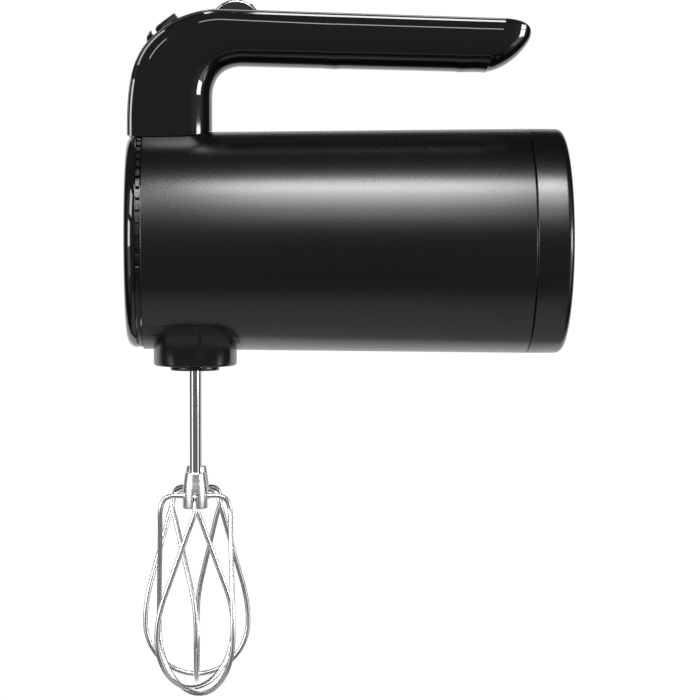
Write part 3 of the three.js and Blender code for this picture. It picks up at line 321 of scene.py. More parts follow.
def soft_moulding(name, roughness=0.26):
    """Semi-gloss black plastic with a fine spark-eroded texture."""
    finish = Finish(name)
    spot = finish.place()
    texture = finish.noise(spot, 1900, 3.0, 0.6)
    wear = finish.noise(spot, 75, 3.0)
    colour = finish.blend(wear, (0.002, 0.002, 0.0022), (0.005, 0.005, 0.0053))
    return finish.done(
        Base_Color=colour,
        Roughness=roughness + 0.08 * wear + 0.05 * (texture - 0.5),
        Normal=finish.bump(texture, 0.006 * MM),
    )


def steel(name, roughness, streak=(1, 1, 1), tone=(0.62, 0.62, 0.63), bright=(0.82, 0.82, 0.83)):
    """Stainless steel, with polishing lines drawn out along one direction."""
    finish = Finish(name)
    lines = finish.noise(finish.place(streak), 900, 4.0, 0.6)
    cloud = finish.noise(finish.place(), 60, 3.0)
    return finish.done(
        Base_Color=finish.blend(lines, tone, bright),
        Metallic=1.0,
        Roughness=roughness * (0.7 + 0.8 * lines) + 0.03 * cloud,
        Normal=finish.bump(lines, 0.001 * MM),
    )


def moulded(name, dark, light, roughness=0.5, scale=700):
    """Plain inner moulding, mottled a little by the flow of the plastic."""
    finish = Finish(name)
    spot = finish.place()
    grain = finish.noise(spot, scale, 4.0, 0.6)
    flow = finish.noise(spot, 45, 3.0)
    return finish.done(
        Base_Color=finish.blend(flow, dark, light),
        Roughness=roughness + 0.15 * (grain - 0.5),
        Normal=finish.bump(grain, 0.02 * MM),
    )


def wound_copper(name):
    """Enamelled wire laid in close turns round the rotor's axis."""
    finish = Finish(name)
    turns = finish.node("TexWave", {"bands_direction": "X"}, {"Vector": finish.place(), "Scale": 330.0,
                                                             "Distortion": 1.2, "Detail": 2.0}, out="Fac")
    return finish.done(
        Base_Color=finish.blend(turns, (0.23, 0.07, 0.02), (0.62, 0.26, 0.10)),
        Metallic=1.0,
        Roughness=0.25 + 0.25 * (1 - turns),
        Normal=finish.bump(turns, 0.15 * MM),
    )


def circuit_board(name):
    """Green solder resist over copper tracks."""
    finish = Finish(name)
    spot = finish.place()
    tracks = finish.node("TexVoronoi", {"feature": "DISTANCE_TO_EDGE"}, {"Vector": spot, "Scale": 210.0})
    line = finish.node("MapRange", values={0: tracks, 1: 0.05, 2: 0.09, 3: 1.0, 4: 0.0})
    return finish.done(
        Base_Color=finish.blend(line, (0.008, 0.085, 0.035), (0.03, 0.21, 0.09)),
        Roughness=0.38 - 0.08 * line,
        Normal=finish.bump(line, 0.03 * MM),
    )


# ---------- mesh making ----------

def link(name, mesh):
    """Puts a mesh in the scene as an object at the origin."""
    made = bpy.data.objects.new(name, mesh)
    bpy.context.collection.objects.link(made)
    return made


def from_lists(name, points, faces):
    mesh = bpy.data.meshes.new(name)
    mesh.from_pydata([tuple(p) for p in points], [], faces)
    work = bmesh.new()
    work.from_mesh(mesh)
    bmesh.ops.remove_doubles(work, verts=work.verts, dist=1e-7)
    bmesh.ops.recalc_face_normals(work, faces=work.faces)
    work.to_mesh(mesh)
    work.free()
    return link(name, mesh)


def arc(along, out, radius, from_deg, to_deg, steps=8):
    """Points of a round, as (along, out) pairs."""
    turns = [math.radians(from_deg + (to_deg - from_deg) * i / steps) for i in range(steps + 1)]
    return [(along + radius * math.cos(t), out + radius * math.sin(t)) for t in turns]


AXES = {
    "X": lambda along, out, turn: (along, out * math.cos(turn), out * math.sin(turn)),
    "Y": lambda along, out, turn: (out * math.sin(turn), along, out * math.cos(turn)),
    "Z": lambda along, out, turn: (out * math.cos(turn), out * math.sin(turn), along),
}


def turned(name, profile, axis="X", sides=128, centre=(0, 0, 0), closed=False):
    """A solid turned from (along, radius) points. It closes on its axis, or on itself where closed."""
    spin = AXES[axis]
    centre = Vector(centre)
    points = []
    for along, out in profile:
        points += [centre + Vector(spin(along, out, 2 * math.pi * i / sides)) for i in range(sides)]
    rows = len(profile)
    faces = []
    for row in range(rows if closed else rows - 1):
        low, high = row * sides, ((row + 1) % rows) * sides
        faces += [(low + i, low + (i + 1) % sides, high + (i + 1) % sides, high + i) for i in range(sides)]
    made = from_lists(name, points, faces)
    drop_slivers(made)
    return made


def drop_slivers(piece):
    """Clears the faces that closed up to a line at a pole."""
    work = bmesh.new()
    work.from_mesh(piece.data)
    bmesh.ops.dissolve_degenerate(work, edges=work.edges, dist=1e-8)
    bmesh.ops.recalc_face_normals(work, faces=work.faces)
    work.to_mesh(piece.data)
    work.free()


def lofted(name, rings):
    """A solid through closed rings of equal length, capped at both ends."""
    count = len(rings[0])
    points = [p for ring in rings for p in ring]
    faces = []
    for row in range(len(rings) - 1):
        low, high = row * count, (row + 1) * count
        faces += [(low + i, low + (i + 1) % count, high + (i + 1) % count, high + i) for i in range(count)]
    faces.append(tuple(range(count)))
    last = (len(rings) - 1) * count
    faces.append(tuple(last + i for i in reversed(range(count))))
    return from_lists(name, points, faces)


def prism_y(name, outline, low_y, high_y):
    """An outline in (x, z) run across the mixer."""
    return lofted(name, [[(x, y, z) for x, z in outline] for y in (low_y, high_y)])


def box_piece(name, low, high):
    """A plain block between two corners, used to cut and trim."""
    points = [(x, y, z) for x in (low[0], high[0]) for y in (low[1], high[1]) for z in (low[2], high[2])]
    faces = [(0, 1, 3, 2), (4, 6, 7, 5), (0, 4, 5, 1), (2, 3, 7, 6), (0, 2, 6, 4), (1, 5, 7, 3)]
    return from_lists(name, points, faces)


def join(pieces, name):
    """Joins several finished meshes into the first of them."""
    whole = bmesh.new()
    for piece in pieces:
        whole.from_mesh(piece.data)
    whole.to_mesh(pieces[0].data)
    whole.free()
    for piece in pieces[1:]:
        bpy.data.objects.remove(piece)
    pieces[0].name = name
    pieces[0].data.name = name


def bezier(p0, p1, p2, p3, steps):
    """Points along a curve from p0 to p3, drawn towards p1 and p2."""
    line = []
    for i in range(steps + 1):
        t = i / steps
        weights = ((1 - t) ** 3, 3 * (1 - t) ** 2 * t, 3 * (1 - t) * t * t, t ** 3)
        line.append(tuple(sum(w * p[k] for w, p in zip(weights, (p0, p1, p2, p3))) for k in (0, 1)))
    return line


def resample(line, count):
    """The line again, with evenly spaced points."""
    lengths = [0.0]
    for a, b in zip(line, line[1:]):
        lengths.append(lengths[-1] + math.dist(a, b))
    points, k = [], 0
    for i in range(count + 1):
        want = lengths[-1] * i / count
        while k < len(line) - 2 and lengths[k + 1] < want:
            k += 1
        part = (want - lengths[k]) / max(lengths[k + 1] - lengths[k], 1e-12)
        points.append(tuple(a + (b - a) * part for a, b in zip(line[k], line[k + 1])))
    return points


def apply_modifiers(piece):
    """Turns what the modifiers make into the piece's own plain mesh."""
    view = bpy.context.evaluated_depsgraph_get()
    mesh = bpy.data.meshes.new_from_object(piece.evaluated_get(view))
    piece.modifiers.clear()
    old = piece.data
    piece.data = mesh
    mesh.name = piece.name
    bpy.data.meshes.remove(old)


def combine(piece, tool, operation="DIFFERENCE"):
    """Cuts, joins or trims a piece with another, which is then thrown away."""
    step = piece.modifiers.new("combine", "BOOLEAN")
    step.object = tool
    step.operation = operation
    step.solver = "EXACT"
    apply_modifiers(piece)
    bpy.data.objects.remove(tool)


def ease_edges(piece, width, segments=2, angle=35):
    """Breaks the sharp edges with a small round."""
    step = piece.modifiers.new("ease", "BEVEL")
    step.width = width
    step.segments = segments
    step.limit_method = "ANGLE"
    step.angle_limit = math.radians(angle)
    step.use_clamp_overlap = True
    step.harden_normals = False
    apply_modifiers(piece)


def smooth(piece, angle=32):
    """Shades the faces round, except across edges sharper than the angle."""
    piece.data.shade_smooth()
    piece.data.set_sharp_from_angle(angle=math.radians(angle))


def fit_out(piece, body, slot, material, *nodes):
    """Gives a finished piece its material and its body, and hides the nodes that it stands for."""
    piece.data.materials.clear()
    piece.data.materials.append(material)
    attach(piece, body)
    if nodes:
        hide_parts(*nodes)


# ---------- geometry nodes ----------

class Growth:
    """A Geometry Nodes tree with named inputs."""

    def __init__(self, name, **inputs):
        self.tree = bpy.data.node_groups.new(name, "GeometryNodeTree")
        self.tree.interface.new_socket("Geometry", in_out="INPUT", socket_type="NodeSocketGeometry")
        self.ids = {}
        for key, kind in inputs.items():
            socket = self.tree.interface.new_socket(key, in_out="INPUT", socket_type="NodeSocket" + kind)
            self.ids[key] = socket.identifier
        self.tree.interface.new_socket("Geometry", in_out="OUTPUT", socket_type="NodeSocketGeometry")
        self.start = self.tree.nodes.new("NodeGroupInput")
        self.end = self.tree.nodes.new("NodeGroupOutput")

    def given(self, name):
        return self.start.outputs[name]

    def node(self, kind, settings=None, values=None, out=0):
        made = self.tree.nodes.new(kind)
        for key, value in (settings or {}).items():
            setattr(made, key, value)
        for key, value in (values or {}).items():
            if isinstance(value, bpy.types.NodeSocket):
                self.tree.links.new(made.inputs[key], value)
            else:
                made.inputs[key].default_value = value
        return made.outputs[out]

    def finish(self, geometry, material):
        whole = self.node("GeometryNodeRealizeInstances", values={0: geometry})
        dressed = self.node("GeometryNodeSetMaterial", values={"Geometry": whole, "Material": material})
        self.tree.links.new(self.end.inputs[0], dressed)

    def grow(self, piece, **values):
        step = piece.modifiers.new("grow", "NODES")
        step.node_group = self.tree
        for key, value in values.items():
            step[self.ids[key]] = value
        apply_modifiers(piece)


def wire_growth(material):
    """Sweeps a round wire along a path and closes its ends."""
    growth = Growth("wire", Radius="Float", Sides="Int")
    path = growth.node("GeometryNodeMeshToCurve", values={0: growth.given("Geometry")})
    section = growth.node("GeometryNodeCurvePrimitiveCircle", values={"Radius": growth.given("Radius"),
                                                                      "Resolution": growth.given("Sides")})
    swept = growth.node("GeometryNodeCurveToMesh", values={"Curve": path, "Profile Curve": section,
                                                           "Fill Caps": True})
    growth.finish(swept, material)
    return growth


def rib_growth(material):
    """Stands equal blocks round the X axis, evenly spaced from a first angle."""
    growth = Growth("ribs", Count="Int", First="Float", Pitch="Float", Radius="Float", Size="Vector",
                    Place="Float")
    row = growth.node("GeometryNodeMeshLine", values={"Count": growth.given("Count"), "Offset": (0, 0, 0)})
    index = growth.node("GeometryNodeInputIndex")
    step = growth.node("ShaderNodeMath", {"operation": "MULTIPLY"}, {0: index, 1: growth.given("Pitch")})
    turn = growth.node("ShaderNodeMath", {"operation": "ADD"}, {0: step, 1: growth.given("First")})
    sine = growth.node("ShaderNodeMath", {"operation": "SINE"}, {0: turn})
    cosine = growth.node("ShaderNodeMath", {"operation": "COSINE"}, {0: turn})
    side = growth.node("ShaderNodeMath", {"operation": "MULTIPLY"}, {0: sine, 1: growth.given("Radius")})
    rise = growth.node("ShaderNodeMath", {"operation": "MULTIPLY"}, {0: cosine, 1: growth.given("Radius")})
    back = growth.node("ShaderNodeMath", {"operation": "MULTIPLY"}, {0: turn, 1: -1.0})
    spot = growth.node("ShaderNodeCombineXYZ", values={0: growth.given("Place"), 1: side, 2: rise})
    lean = growth.node("ShaderNodeCombineXYZ", values={0: back})
    block = growth.node("GeometryNodeMeshCube", values={"Size": growth.given("Size")})
    placed = growth.node("GeometryNodeSetPosition", values={"Geometry": row, "Position": spot})
    ribs = growth.node("GeometryNodeInstanceOnPoints", values={"Points": placed, "Instance": block,
                                                               "Rotation": lean})
    growth.finish(ribs, material)
    return growth


# ---------- barrel casing ----------

def cone(name, grow, start=BARREL_FRONT):
    """The barrel's form as a solid, a little larger or smaller."""
    end = BARREL_REAR
    profile = [(start, 0), (start, barrel_radius(start) + grow), (end, barrel_radius(end) + grow), (end, 0)]
    return turned(name, profile, sides=ROUND_SIDES)


def chin_region(grow):
    """A prism across the mixer with the chin's seam as its top."""
    curve_front = WHISK_PLANE + CHIN_CURVE_SETBACK
    seam = -CHIN_SIDE_DEPTH + grow
    bottom = -barrel_radius(WHISK_PLANE)
    front = BARREL_FRONT - 5 * MM
    deep = bottom - 15 * MM
    outline = [(front, seam)]
    for i in range(25):
        turn = math.pi / 2 * i / 24
        x = curve_front + (CHIN_CURVE_LENGTH + grow) * math.sin(turn)
        outline.append((x, bottom + (seam - bottom) * math.cos(turn)))
    outline += [(outline[-1][0], deep), (front, deep)]
    return prism_y("chin_region", outline, -HEEL_RADIUS, HEEL_RADIUS)


def make_barrel(material):
    """The barrel's thin shell, open under its nose where the chin cover sits."""
    x0, x1, ease = BARREL_FRONT, BARREL_REAR, 0.45 * MM
    r0, r1 = barrel_radius(x0), barrel_radius(x1)
    profile = [(x0, r0 - SHELL_WALL), *arc(x0 + ease, r0 - ease, ease, 180, 90, 4),
               *arc(x1 - ease, r1 - ease, ease, 90, 0, 4), (x1, r1 - SHELL_WALL)]
    shell = turned("barrel", profile, sides=ROUND_SIDES, closed=True)
    combine(shell, chin_region(0.1 * MM))
    ease_edges(shell, 0.22 * MM)
    smooth(shell)
    fit_out(shell, "housing", "satin_black", material, "barrel_shell")


def make_rear_cap(material):
    """The heel: a cap with a slightly dished end, a spigot in the barrel and the inlet's opening."""
    x0, r, edge = rear_low.x, HEEL_RADIUS, 3.2 * MM
    seam = BARREL_REAR + GAP
    ease = 0.45 * MM
    inner = r - SHELL_WALL - GAP
    dish = r - 9 * MM
    profile = [(-0.35 * MM, 0), (-0.35 * MM, dish - 0.6 * MM), *arc(-0.35 * MM, dish, 0.35 * MM, 270, 360, 4),
               *arc(-edge, r - edge, edge, 0, 90, 10),
               *arc(seam + ease, r - ease, ease, 90, 180, 4), (seam, inner), (x0, inner),
               (x0, inner - 2 * MM), (-SHELL_WALL, inner - 2 * MM), (-SHELL_WALL, 0)]
    cap = turned("heel_cap", profile, sides=ROUND_SIDES)
    low, high = reach("charge_socket")
    margin = Vector((0, GAP, GAP))
    inlet = box_piece("inlet", low - margin, Vector((1 * MM, high.y, high.z)) + margin)
    ease_edges(inlet, 1.0 * MM, 4)
    combine(cap, inlet)
    smooth(cap)
    fit_out(cap, "housing", "satin_black", material, "rear_cap")


def make_front_cap(material):
    """The domed nose, with the lower part of its spigot cut away."""
    x0, x1, r = nose_low.x, vent_low.x - GAP / 2, nose_high.y
    deep = x1 - 0.3 * MM - x0
    dome = [(x0 + deep - deep * math.cos(t), r - NOSE_RIM + NOSE_RIM * math.sin(t)) for t in
            [math.pi / 2 * i / 18 for i in range(19)]]
    spigot = NOSE_RADIUS - SHELL_WALL - GAP
    end = nose_high.x
    profile = [(x0 + 0.15 * MM, 0), (x0 + 0.05 * MM, r * 0.55), *dome,
               (x1, r - 0.3 * MM), (x1, spigot), (end, spigot), (end, spigot - 2 * MM),
               (x0 + SHELL_WALL, spigot - 2 * MM), (x0 + SHELL_WALL, 0)]
    cap = turned("nose_cap", profile, sides=ROUND_SIDES)
    wide = NOTCH_WIDTH / 2
    notch = box_piece("notch", (x1, -wide, -NOSE_RADIUS), (end + MM, wide, -NOTCH_DROP))
    combine(cap, notch)
    smooth(cap)
    fit_out(cap, "housing", "gloss_black", material, "front_cap")


def make_vent_ring(material):
    """A dark ring with raised lands between the slots, which stop a little below the barrel's middle."""
    x0, x1 = vent_low.x, vent_high.x
    outer = vent_high.y
    root = outer - VENT_DEPTH
    inner = NOSE_RADIUS - SHELL_WALL
    base = [(x0, inner), (x0, root), (x1, root), (x1, inner)]
    ring = turned("vent_ring_base", base, sides=ROUND_SIDES, closed=True)
    smooth(ring)
    ring.data.materials.append(material)
    height = outer - root + 0.2 * MM
    lands = link("vent_lands", bpy.data.meshes.new("vent_lands"))
    size = (x1 - x0, outer * VENT_PITCH / 2, height)
    rib_growth(material).grow(lands, Count=2 * VENTS_EACH_SIDE + 1, First=-VENTS_EACH_SIDE * VENT_PITCH,
                              Pitch=VENT_PITCH, Radius=outer - height / 2, Size=size, Place=(x0 + x1) / 2)
    ease_edges(lands, 0.15 * MM, 1)
    plain = turned("plain_band", [(x0 + 0.2 * MM, root - 0.1 * MM), (x0 + 0.2 * MM, outer - 0.5 * MM),
                                  (x1 - 0.2 * MM, outer - 0.5 * MM), (x1 - 0.2 * MM, root - 0.1 * MM)],
                   sides=ROUND_SIDES, closed=True)
    below = box_piece("below", (x0 - MM, -outer - MM, -outer - MM), (x1 + MM, outer + MM, -outer * 0.37))
    combine(plain, below, "INTERSECT")
    join([ring, lands, plain], "vents")
    fit_out(ring, "housing", "soft_black", material, "vent_ring")


def boss_plan(inset, z):
    """The boss seen from below: a flat front, with long elliptical corners."""
    line = []
    for quarter in range(4):
        way_x = 1 if quarter in (0, 3) else -1
        way_y = 1 if quarter < 2 else -1
        for i in range(61):
            turn = math.pi / 2 * (quarter + i / 60)
            x = way_x * (BOSS_LENGTH / 2 - BOSS_CORNER_LENGTH) + (BOSS_CORNER_LENGTH - inset) * math.cos(turn)
            y = way_y * (BOSS_WIDTH / 2 - BOSS_CORNER_WIDTH) + (BOSS_CORNER_WIDTH - inset) * math.sin(turn)
            line.append((WHISK_PLANE + x, y))
    line.append(line[0])
    return [(x, y, z) for x, y in resample(line, 240)[:-1]]


def make_chin(material):
    """The cover under the nose: a wall that completes the barrel, and the boss round the two sockets."""
    bottom = chin_low.z
    edge = 1.1 * MM
    inside = -34 * MM  # the boss starts within the barrel's hollow, which then cuts it
    bore_top = -30 * MM
    rings = [boss_plan(0, inside), boss_plan(0, bottom + edge)]
    rings += [boss_plan(edge - out, along) for along, out in
              [(bottom + edge - edge * math.sin(t), edge * math.cos(t)) for t in
               [math.pi / 2 * i / 6 for i in range(1, 7)]]]
    boss = lofted("boss", rings)
    start = BARREL_FRONT - 5 * MM
    combine(boss, cone("hollow", -SHELL_WALL, start))
    low = box_piece("low", (nose_low.x, -HEEL_RADIUS, -2 * HEEL_RADIUS), (0, HEEL_RADIUS, -CHIN_SIDE_DEPTH))
    combine(boss, low, "INTERSECT")
    wall = cone("chin", -0.02 * MM)
    combine(wall, chin_region(0), "INTERSECT")
    combine(wall, cone("hollow", -SHELL_WALL, start))
    combine(wall, boss, "UNION")
    for side in ("left", "right"):
        spindle_low, spindle_high = reach(side + "_spindle")
        centre = (spindle_low + spindle_high) / 2
        bore = (spindle_high.x - spindle_low.x) / 2 + 2 * GAP
        profile = [(bottom - MM, 0), (bottom - MM, bore), (bore_top, bore), (bore_top, 0)]
        combine(wall, turned("bore", profile, "Z", 64, (centre.x, centre.y, 0)))
    ease_edges(wall, 0.28 * MM)
    smooth(wall)
    fit_out(wall, "housing", "soft_black", material, "chin_cover")


# ---------- handle ----------

def handle_rails():
    """Matching points along the outer and inner lines, from the foot to the tip."""
    front, rear = cover_low.x, cover_low.x + COLUMN_DEPTH
    under, top = NOSE_RADIUS + FINGER_GAP, NOSE_RADIUS + FINGER_GAP + GRIP_DEPTH
    foot = NOSE_RADIUS - 6 * MM
    tip_x = cover_high.x
    top_rear, under_rear = top - TIP_FALL, under - TIP_UNDER_FALL
    tip = top_rear - TIP_DROP
    bend_foot = NOSE_RADIUS + BEND_FOOT
    crest = Vector((front + CREST_SETBACK, top - CREST_DROP))
    way = Vector((1, CREST_SLOPE))
    rise = crest.y - bend_foot
    grip_x = front + BEND_LENGTH
    run = grip_x - crest.x
    lower = bezier((front, bend_foot), (front, bend_foot + 0.67 * rise), crest - 0.52 * run * way, crest, 60)
    upper = bezier(crest, crest + 0.21 * run * way, (grip_x - 0.3 * run, top), (grip_x, top), 30)
    tip_start = tip_x - TIP_LENGTH
    nose = bezier((tip_start, top_rear), (tip_x - 1.3 * MM, top_rear - 0.35 * MM), (tip_x, tip + 3.1 * MM),
                  (tip_x, tip), 40)
    corner_x = rear + CORNER_LENGTH
    corner = bezier((rear, under - CORNER_DROP), (rear, under - 5.6 * MM), (corner_x - 9.4 * MM, under),
                    (corner_x, under), 40)
    under_x = tip_x - TIP_UNDER_LENGTH
    chin = bezier((under_x, under_rear), (under_x + 13 * MM, under_rear - 0.3 * MM), (tip_x, tip - 3.4 * MM),
                  (tip_x, tip), 40)
    split = 14
    pairs = [
        ([(front, foot), *lower[:split]], [(rear, foot), corner[0]], 14),
        ([*lower[split - 1:], *upper[1:]], corner, 44),
        ([upper[-1], nose[0]], [corner[-1], chin[0]], 36),
        (nose, chin, 36),
    ]
    outer, inner = [], []
    for out_line, in_line, count in pairs:
        skip = 1 if outer else 0
        outer += resample(out_line, count)[skip:]
        inner += resample(in_line, count)[skip:]
    return outer, inner


def shell_half(depth):
    """Half of the handle's section below its cover, as (half width, distance from the outer line)."""
    wide = HANDLE_WIDTH / 2
    flank = ((0.95, 2.1), (0.90, 1.66), (0.64, 1.66), (0.28, 2.4), (0.28, 2.5), (0.28, 5.5), (0.16, 5.9),
             (0.16, 6.0), (0.16, 8.5))
    half = [(0, 2.5 * MM), (wide - 2.7 * MM, 2.5 * MM), (wide - 1.0 * MM, 2.5 * MM)]
    half += [(wide - inset * MM, d * MM) for inset, d in flank]
    straight = depth - ROUND_DEPTH
    for i in range(1, 25):
        turn = math.pi / 2 * i / 24
        out = (wide - FLANK_INSET) * math.cos(turn) ** 0.9
        half.append((out, straight + ROUND_DEPTH * math.sin(turn) ** 0.9))
    return half


def cover_half():
    """Half of the cover's section: a gentle crown, a rounded edge and a flat underside."""
    side = HANDLE_WIDTH / 2 - 1.1 * MM
    edge = 0.6 * MM
    half = [(0, 0), (side * 0.35, 0.02 * MM), (side * 0.65, 0.1 * MM), (side - 2.2 * MM, 0.26 * MM)]
    half += [(side - edge + edge * math.sin(t), 0.4 * MM + edge - edge * math.cos(t)) for t in
             [math.pi / 2 * i / 6 for i in range(7)]]
    under = COVER_THICKNESS + 0.1 * MM
    half += [(side, COVER_THICKNESS), (side - MM, under), (0, under)]
    return half


def handle_loft(name, half_section):
    """Sweeps a half section and its mirror image along the handle, closing down to the tip."""
    outer, inner = handle_rails()
    full = GRIP_DEPTH
    rings = []
    for (ox, oz), (ix, iz) in zip(outer, inner):
        depth = math.dist((ox, oz), (ix, iz))
        share = min(depth / (full * 0.985), 1.0)
        if share < 0.004:
            continue
        half = half_section(max(depth, full) if share == 1.0 else full)
        thin = depth / full if share < 1 else 1.0
        slim = share ** 0.42
        down = ((ix - ox) / depth, (iz - oz) / depth)
        ring = []
        for side in (1, -1):
            run = half if side > 0 else list(reversed(half))[1:-1]
            ring += [(ox + down[0] * d * thin, side * y * slim, oz + down[1] * d * thin) for y, d in run]
        rings.append(ring)
    return lofted(name, rings)


def seat_block(centre, slope, length, low):
    """A block in a button's own frame, set on the bend and open above it."""
    half = BUTTON_WIDTH / 2 + GAP
    made = box_piece("seat", (-length / 2, -half, low), (length / 2, half, 9 * MM))
    made.data.transform(Matrix.Translation(centre) @ Matrix.Rotation(-slope, 4, "Y"))
    return made


def button_seat(joint_name, node, depth):
    """The middle of a button at the handle's surface, and its slope, from the way it is pressed."""
    joint = next(j for j in frame["record"]["behaviour"]["joints"] if j["name"] == joint_name)
    press = Vector(joint["axis"])
    low, high = reach(node)
    middle = (low + high) / 2
    slope = math.asin(press.x)
    return middle + press * (BUTTON_PROUD - depth) / 2, slope


def wheel_centre():
    return (wheel_low + wheel_high) / 2


def cut_openings(piece):
    """Cuts the seats of the two buttons and the slot of the speed wheel."""
    for joint_name, node, length, depth in (
        ("eject_press", "eject_button", EJECT_LENGTH, EJECT_DEPTH),
        ("turbo_press", "turbo_button", TURBO_LENGTH, TURBO_DEPTH),
    ):
        centre, slope = button_seat(joint_name, node, depth)
        combine(piece, seat_block(centre, slope, length + 2 * GAP, -depth - BUTTON_ROOM))
    centre = wheel_centre()
    radius = (wheel_high.x - wheel_low.x) / 2 + WHEEL_ROOM
    half = (wheel_high.y - wheel_low.y) / 2 + WHEEL_ROOM
    profile = [(-half, 0), (-half, radius), (half, radius), (half, 0)]
    combine(piece, turned("slot", profile, "Y", 96, centre))


def trim_to_barrel(piece):
    """Shapes the foot of the column to the barrel, with a hairline of clearance."""
    start, end = nose_low.x - 5 * MM, 0
    profile = [(start, 0), (start, NOSE_RADIUS + GAP), (BARREL_FRONT, NOSE_RADIUS + GAP),
               (end, barrel_radius(end) + GAP), (end, 0)]
    combine(piece, turned("barrel_clearance", profile, sides=ROUND_SIDES))


def make_handle(material):
    """The handle's shell and the cover along its outer side."""
    shell = handle_loft("grip_shell", shell_half)
    cover = handle_loft("grip_cover", lambda depth: cover_half())
    for piece, node in ((shell, "handle_shell"), (cover, "handle_cover")):
        trim_to_barrel(piece)
        cut_openings(piece)
        smooth(piece, 12)
        fit_out(piece, "housing", "gloss_black", material, node)


def make_button(name, node, joint_name, length, depth, material, outline):
    """A button with its own side outline, standing on the bend."""
    centre, slope = button_seat(joint_name, node, depth)
    made = prism_y(name, outline(length, depth), -BUTTON_WIDTH / 2, BUTTON_WIDTH / 2)
    made.data.transform(Matrix.Translation(centre) @ Matrix.Rotation(-slope, 4, "Y"))
    ease_edges(made, 0.45 * MM, 4)
    smooth(made)
    fit_out(made, name, "gloss_black", material, node)


def eject_outline(length, depth):
    half = length / 2
    top = BUTTON_PROUD
    return [(-half, -depth), (half, -depth), (half, top), (half - MM, top), (0, top - 0.1 * MM),
            (-half + 1.4 * MM, top - 0.35 * MM), (-half, top - 1.1 * MM)]


def turbo_outline(length, depth):
    half = length / 2
    top = BUTTON_PROUD
    return [(-half, -depth), (half, -depth), (half, 2.1 * MM), (half + 0.9 * MM, top), (half - 0.4 * MM, top),
            (-half + 1.2 * MM, top - 0.9 * MM), (-half + 0.4 * MM, top - 1.8 * MM), (-half, top - 2.9 * MM)]


def make_speed_wheel(material, bright):
    """The dial: a rounded rim with a small pointer, and a bright bead in each of its flanks."""
    centre = wheel_centre()
    r = (wheel_high.z - wheel_low.z) / 2
    half = (wheel_high.y - wheel_low.y) / 2
    edge, bead = 0.3 * MM, 0.42 * MM
    bead_radius = r - 0.35 * MM - bead
    seat = half - bead
    right = [(half, 2.3 * MM), (half, bead_radius - bead), (seat, bead_radius - bead),
             (seat, bead_radius + bead), *arc(half - edge, r - edge, edge, 0, 90, 5)]
    left = [(-along, out) for along, out in reversed(right)]
    wheel = turned("speed_wheel_body", right + left, "Y", 120, centre, closed=True)
    pointer = box_piece("pointer", (-0.8 * MM, -2.2 * MM, r - MM), (0.8 * MM, 2.2 * MM, r + 0.7 * MM))
    ease_edges(pointer, 0.35 * MM, 3)
    lean = Matrix.Rotation(math.radians(36), 4, "Y")
    pointer.data.transform(Matrix.Translation(centre) @ lean)
    smooth(wheel)
    smooth(pointer)
    join([wheel, pointer], "speed_wheel_body")
    fit_out(wheel, "speed_dial", "soft_black", material, "speed_wheel")
    for side, way in (("left", -1), ("right", 1)):
        round_bead = arc(half - bead + 0.05 * MM, bead_radius, bead - 0.04 * MM, 0, 345, 23)
        profile = [(way * along, out) for along, out in round_bead]
        ring = turned(side + "_trim_ring", profile, "Y", 120, centre, closed=True)
        smooth(ring)
        fit_out(ring, "speed_dial", "polished_steel", bright, side + "_wheel_ring")


# ---------- whisks ----------

def flowing(points, steps):
    """A smooth line through chosen points, evened out by their distances."""
    ends = [points[0] * 2 - points[1], *points, points[-1] * 2 - points[-2]]
    line = []
    for a, b, c, d in zip(ends, ends[1:], ends[2:], ends[3:]):
        t0 = 0.0
        t1 = t0 + (b - a).length ** 0.5
        t2 = t1 + (c - b).length ** 0.5
        t3 = t2 + (d - c).length ** 0.5
        for i in range(steps):
            t = t1 + (t2 - t1) * i / steps
            a1 = a * ((t1 - t) / (t1 - t0)) + b * ((t - t0) / (t1 - t0))
            a2 = b * ((t2 - t) / (t2 - t1)) + c * ((t - t1) / (t2 - t1))
            a3 = c * ((t3 - t) / (t3 - t2)) + d * ((t - t2) / (t3 - t2))
            b1 = a1 * ((t2 - t) / (t2 - t0)) + a2 * ((t - t0) / (t2 - t0))
            b2 = a2 * ((t3 - t) / (t3 - t1)) + a3 * ((t - t1) / (t3 - t1))
            line.append(b1 * ((t2 - t) / (t2 - t1)) + b2 * ((t - t1) / (t2 - t1)))
    line.append(points[-1])
    return line


def half_loop(azimuth, twist, bottom):
    """Half of a wire loop, from inside the hub to the whisk's axis, measured from the ports."""
    def at(radius, turn, z):
        return Vector((radius * math.cos(turn), radius * math.sin(turn), z))

    shoulder = at(SHOULDER_RADIUS, azimuth, -SHOULDER_DROP)
    bulge = at(BULGE_RADIUS, azimuth + twist, -BULGE_DROP)
    corner = SHOULDER_RADIUS - WIRE_CORNER
    elbow = at(corner + WIRE_CORNER * 0.66, azimuth, -WIRE_CORNER * 0.3)
    points = [at(WIRE_START, azimuth, 0), at(corner, azimuth, 0), elbow, shoulder]
    for i in range(1, 7):
        down = i / 7
        past = max(0.0, down - STRAIGHT_SHARE)
        out = 2 / (1 + STRAIGHT_SHARE) * (down - past ** 2 / (2 * (1 - STRAIGHT_SHARE)))
        point = shoulder.lerp(bulge, out)
        point.z = shoulder.z + (bulge.z - shoulder.z) * down
        points.append(point)
    for i in range(7):
        turn = math.pi / 2 * i / 7
        drop = BULGE_DROP + (bottom - BULGE_DROP) * math.sin(turn)
        points.append(at(BULGE_RADIUS * math.cos(turn), azimuth + twist, -drop))
    return points


